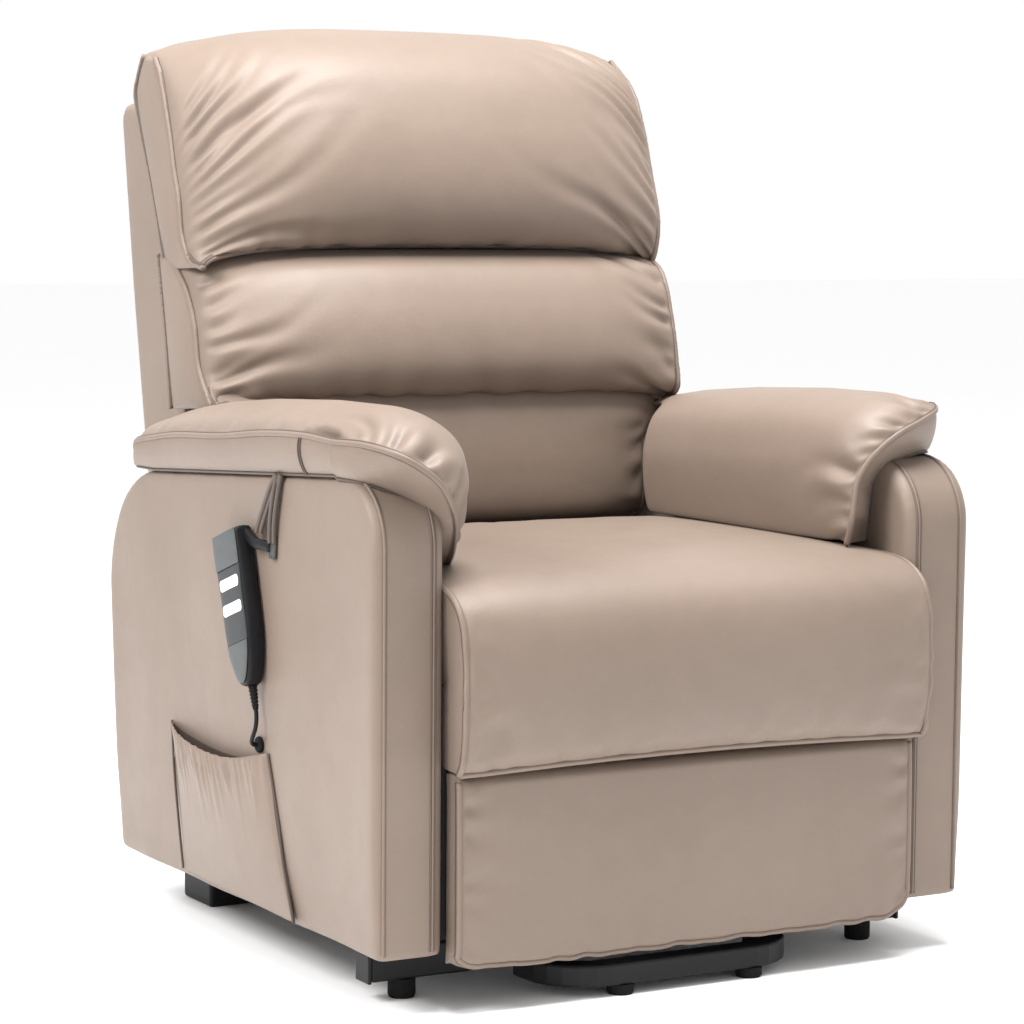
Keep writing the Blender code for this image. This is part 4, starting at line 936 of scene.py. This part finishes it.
def side_pocket():
    """A gathered pocket: outer sheet, turned hem and inner face."""
    columns, rows = 150, 46
    s = np.linspace(0, 1, columns)[:, None]
    t = np.linspace(0, 1, rows)[None]
    mouth = smooth_line([(0.170, 0.248), (0.120, 0.2395), (0.040, 0.2340), (-0.030, 0.2360),
                         (-0.097, 0.2500)], columns)
    foot = smooth_line([(0.138, 0.0765), (0.0, 0.0735), (-0.162, 0.0710)], columns)
    lean = np.sin(np.pi * s) ** 0.55
    depth = 0.0180 * lean * (0.25 + 0.75 * (1 - t) ** 0.7) * (1 - t**6)
    rng = np.random.default_rng(5)
    ripple = np.zeros((columns, rows))
    for k in range(28):
        at, wide = (k + 0.5 + rng.uniform(-0.35, 0.35)) / 28, rng.uniform(0.009, 0.014)
        deep, far = rng.uniform(0.0024, 0.0044), rng.uniform(0.12, 0.34)
        wander = at + rng.uniform(-0.10, 0.10) * t
        ripple += deep * np.exp(-(((s - wander) / (wide * (1 + 1.2 * t))) ** 2)) * np.exp(-((t / far) ** 2))
    hem = 0.0016 * np.exp(-(((t - 0.115) / 0.02) ** 2))
    yz = mouth[:, None] * (1 - t[:, :, None]) + foot[:, None] * t[:, :, None]
    yz[:, :, 0] += 0.006 * np.sin(np.pi * t) * (2 * s - 1)
    edge = ease(np.minimum(s, 1 - s) / 0.02) * ease((1 - t) / 0.02)
    x = -ARM_OUTER - 0.0040 - (depth + (ripple - 0.5 * hem) * lean) * edge
    outer = np.concatenate([x[:, :, None], yz], axis=2)
    inner = outer + np.array((0.0022, 0.0, 0.0))
    inner[:, 0, 2] -= 0.0008
    rim = (outer[:, 0] + inner[:, 0]) / 2 + np.array((0.0, 0.0, 0.0012))
    sheet = np.concatenate([inner[:, ::-1], rim[:, None], outer], axis=1)
    obj = piece("pocket_sheet", *open_sheet(sheet), "leather", "chassis")
    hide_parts("side_pocket")
    front = [(-0.0985, 0.2500), (-0.125, 0.180), (-0.140, 0.130), (-0.1655, 0.0705)]
    back = [(0.1715, 0.2500), (0.165, 0.190), (0.150, 0.120), (0.139, 0.0760)]
    for name, points, radius in (("pocket_seam_dark", front, 0.0022), ("pocket_seam", back, 0.0015)):
        line = [(-ARM_OUTER - 0.0046, *p) for p in smooth_line(points, 60)]
        tube(name, line, radius, "inner", "chassis", 6).parent = obj
    # lining is not cloth: it is a dark sheet just off the arm behind the pocket mouth, painted shadow inside
    # the pocket.
    lining = np.zeros((columns, 8, 3))
    lining[:, :, 0] = -ARM_OUTER - 0.0052
    lining[:, :, 1] = mouth[:, None, 0]
    lining[:, :, 2] = mouth[:, None, 1] + np.linspace(0.0, -0.040, 8)[None]
    piece("pocket_mouth_shadow", *open_sheet(lining[3:-3]), "inner", "chassis").parent = obj


def ribbon(path, width, thick, across):
    """A folded strip along a path: points and faces of a flat band with rounded edges."""
    path = np.asarray(path, float)
    tangent = np.gradient(path, axis=0)
    tangent /= np.linalg.norm(tangent, axis=1)[:, None]
    across = np.asarray(across, float)
    side = across - tangent * (tangent @ across)[:, None]
    side /= np.linalg.norm(side, axis=1)[:, None]
    lift = np.cross(tangent, side)
    angles = np.linspace(0, 2 * np.pi, 12, endpoint=False)
    c, s = np.cos(angles), np.sin(angles)
    profile_u = np.sign(c) * np.abs(c) ** 0.6 * width / 2
    profile_v = np.sign(s) * np.abs(s) ** 0.6 * thick / 2
    wide, deep = side[:, None] * profile_u[:, None], lift[:, None] * profile_v[:, None]
    return closed_rings(path[:, None] + wide + deep)


def handset_strap():
    x = -ARM_OUTER
    left = smooth_line([(x - 0.0035, -0.1300, 0.5680), (x - 0.0050, -0.1180, 0.5520),
                        (x - 0.0060, -0.1020, 0.5280), (x - 0.0070, -0.0905, 0.5080),
                        (x - 0.0075, -0.0876, 0.4990)], 40)
    right = smooth_line([(x - 0.0035, -0.1320, 0.5680), (x - 0.0055, -0.1270, 0.5450),
                         (x - 0.0060, -0.1210, 0.5200), (x - 0.0060, -0.1190, 0.5040),
                         (x - 0.0055, -0.1180, 0.4900)], 40)
    parts = []
    for line in (left, right):
        for offset, lift in ((-0.0038, 0.0), (0.0038, -0.0016)):
            run = line + np.array((lift - 0.0030, offset, 0.0))
            parts.append(ribbon(run, 0.0070, 0.0050, (0.2, 1.0, 0.25)))
    obj = join("strap_loop", parts, "strap", "chassis", slot="leather")
    soften(obj)
    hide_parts("handset_strap")
    line = [(x - 0.0070, -0.1178, 0.4960), (x - 0.0075, -0.1174, 0.4840), (x - 0.0077, -0.1170, 0.4730)]
    tab = ribbon(line, 0.0150, 0.0045, (0.0, 1.0, 0.0))
    piece("strap_tab", *tab, "hook_lip", "chassis", slot="black_plastic").parent = obj


def handset_outline(inset, count=120):
    half = [(0.0, 0.0315), (0.004, 0.0328), (0.050, 0.0335), (0.110, 0.0322), (0.140, 0.0275),
            (0.162, 0.0190), (0.174, 0.0115), (0.1784, 0.0050)]
    line = smooth_line([(d, -w) for d, w in half] + [(d, w) for d, w in half[::-1]], count)
    middle = np.array((0.080, 0.0))
    away = line - middle
    size = np.linalg.norm(away, axis=1)[:, None]
    return middle + away * (1 - inset / size)


def handset_body():
    """The shell: rounded black sides, a grey face with a sunk panel round the buttons."""
    rings = []
    levels = ((HANDSET_BACK, 0.0060), (HANDSET_BACK - 0.0012, 0.0025), (HANDSET_BACK - 0.0035, 0.0006),
              (HANDSET_BACK - 0.0100, 0.0), (HANDSET_FACE + 0.0050, 0.0004), (HANDSET_FACE + 0.0022, 0.0014),
              (HANDSET_FACE + 0.0006, 0.0030))
    for x, inset in levels:
        line = handset_outline(inset)
        rings.append([(x, *on_handset(d, w)) for d, w in line])
    hook = smooth_line([(-ARM_OUTER - 0.0120, *on_handset(0.004, -0.024)),
                        (-ARM_OUTER - 0.0122, -0.0800, 0.4880),
                        (-ARM_OUTER - 0.0110, -0.1000, 0.4870),
                        (-ARM_OUTER - 0.0085, -0.1140, 0.4855)], 24)
    obj = join("handset_shell", [closed_rings(rings), ribbon(hook, 0.0120, 0.0090, (0, 0.1, 1))],
               "black_plastic", "handset", slot="grey_plastic")
    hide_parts("handset_body")
    plate(obj, "handset_face", 0.0046, 0.1290, 0.1750, HANDSET_FACE - 0.0006, "grey_plastic")
    plate(obj, "handset_face_top", 0.0046, 0.0020, 0.0420, HANDSET_FACE - 0.0006, "grey_plastic")
    plate(obj, "handset_panel", 0.0050, 0.0424, 0.1286, HANDSET_FACE + 0.0002, "dark_plastic")
    for name, distance in (("up", 0.0600), ("down", 0.0890)):
        button(name, distance)


def plate(parent, name, inset, start, end, x, material):
    """A thin face plate that covers the handset between two distances from its top."""
    distance = np.linspace(start, end, 40)
    width = np.interp(distance, *half_width(handset_outline(inset, 240)))
    grid = np.zeros((40, 25, 3))
    for i, (d, w) in enumerate(zip(distance, width)):
        for j, share in enumerate(np.linspace(-1, 1, 25)):
            place = on_handset(d, w * share)
            crown = 0.0012 * (1 - share**4)
            grid[i, j] = (x - crown, *place)
    obj = piece(name, *open_sheet(grid), material, "handset")
    solid = obj.modifiers.new("Solidify", "SOLIDIFY")
    solid.thickness = 0.0012
    solid.offset = 0.0
    obj.parent = parent


def half_width(line):
    right = line[line[:, 1] >= 0]
    order = np.argsort(right[:, 0])
    return right[order, 0], right[order, 1]


def button(name, distance):
    rings = []
    for lift, inset in ((-0.0025, 0.0), (0.0000, 0.0), (0.0009, 0.0006), (0.0014, 0.0018), (0.0016, 0.0040)):
        line = []
        for du, dv, start in ((1, -1, 270), (1, 1, 0), (-1, 1, 90), (-1, -1, 180)):
            radius = 0.0046 - inset * 0.9
            center = (du * (0.0068 - inset - radius), dv * (0.0243 - inset - radius))
            angles = np.radians(np.linspace(start, start + 90, 7))
            line += [(center[0] + radius * np.cos(a), center[1] + radius * np.sin(a)) for a in angles]
        rings.append([(HANDSET_FACE - lift - 0.0012, *on_handset(distance + u, v)) for u, v in line])
    obj = piece(f"button_cap_{name}", *closed_rings(rings), "white_plastic", f"button_{name}")
    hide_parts(f"button_{name}")


def cord():
    x = -ARM_OUTER
    route = [
        (x - 0.0150, *on_handset(0.2055, 0.0)),
        (x - 0.0150, *on_handset(0.2100, 0.0)),
        (x - 0.0156, -0.0912, 0.2895),
        (x - 0.0162, -0.0915, 0.2835),
        (x - 0.0168, -0.0902, 0.2775),
        (x - 0.0172, -0.0872, 0.2720),
        (x - 0.0170, -0.0835, 0.2672),
        (x - 0.0156, -0.0788, 0.2616),
        (x - 0.0118, -0.0761, 0.2580),
        (x - 0.0066, -0.0760, 0.2575),
    ]
    path = smooth_line(route, 40)
    obj = tube("cord", path, CORD_DIAMETER / 2, "cord_sheath", None, 14)
    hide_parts("handset_cord")
    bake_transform(obj)
    top = np.array((HANDSET_BACK - 0.0095, *on_handset(0.1790, 0.0)))
    bottom = np.array(route[0])
    steps = np.linspace(0, 1, 45)
    radius = 0.0050 - 0.0017 * steps + 0.00045 * np.sign(np.sin(steps * 40.0)) * (steps < 0.9)
    line = top + (bottom - top) * steps[:, None]
    sleeve = tube("cord_sleeve", line, radius, "black_rubber", "handset", 16)
    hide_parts("strain_relief")
    eyelet = []
    profile = ((0.0010, 0.0088), (0.0052, 0.0098), (0.0078, 0.0088), (0.0082, 0.0060), (0.0078, 0.0030))
    for depth, outer in profile:
        eyelet.append([(x - depth, *(np.array(GROMMET) + outer * np.array((math.cos(a), math.sin(a)))))
                       for a in np.linspace(0, 2 * np.pi, 28, endpoint=False)])
    ring = piece("cord_eyelet", *closed_rings(eyelet), "black_rubber", "chassis")
    soften(ring)
    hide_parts("cord_grommet")


# ---------------------------------------------------------------- frame
def dress_frame():
    """Every CAD node that still shows gets its finished material."""
    for node, obj in frame["nodes"].items():
        slot = next(s["material_slot"] for s in frame["record"]["subparts"] if s["node"] == node)
        obj.data.materials.clear()
        obj.data.materials.append(MATERIALS[slot])


make_materials()
camera()
cord()
studio()
dress_frame()
head_pillow()
middle_pillow()
lower_cushion()
seat_cushion()
footrest_panel()
arms()
arm_pads()
back_shell()
rear_panel()
liners()
side_pocket()
handset_strap()
handset_body()

bpy.context.view_layer.update()
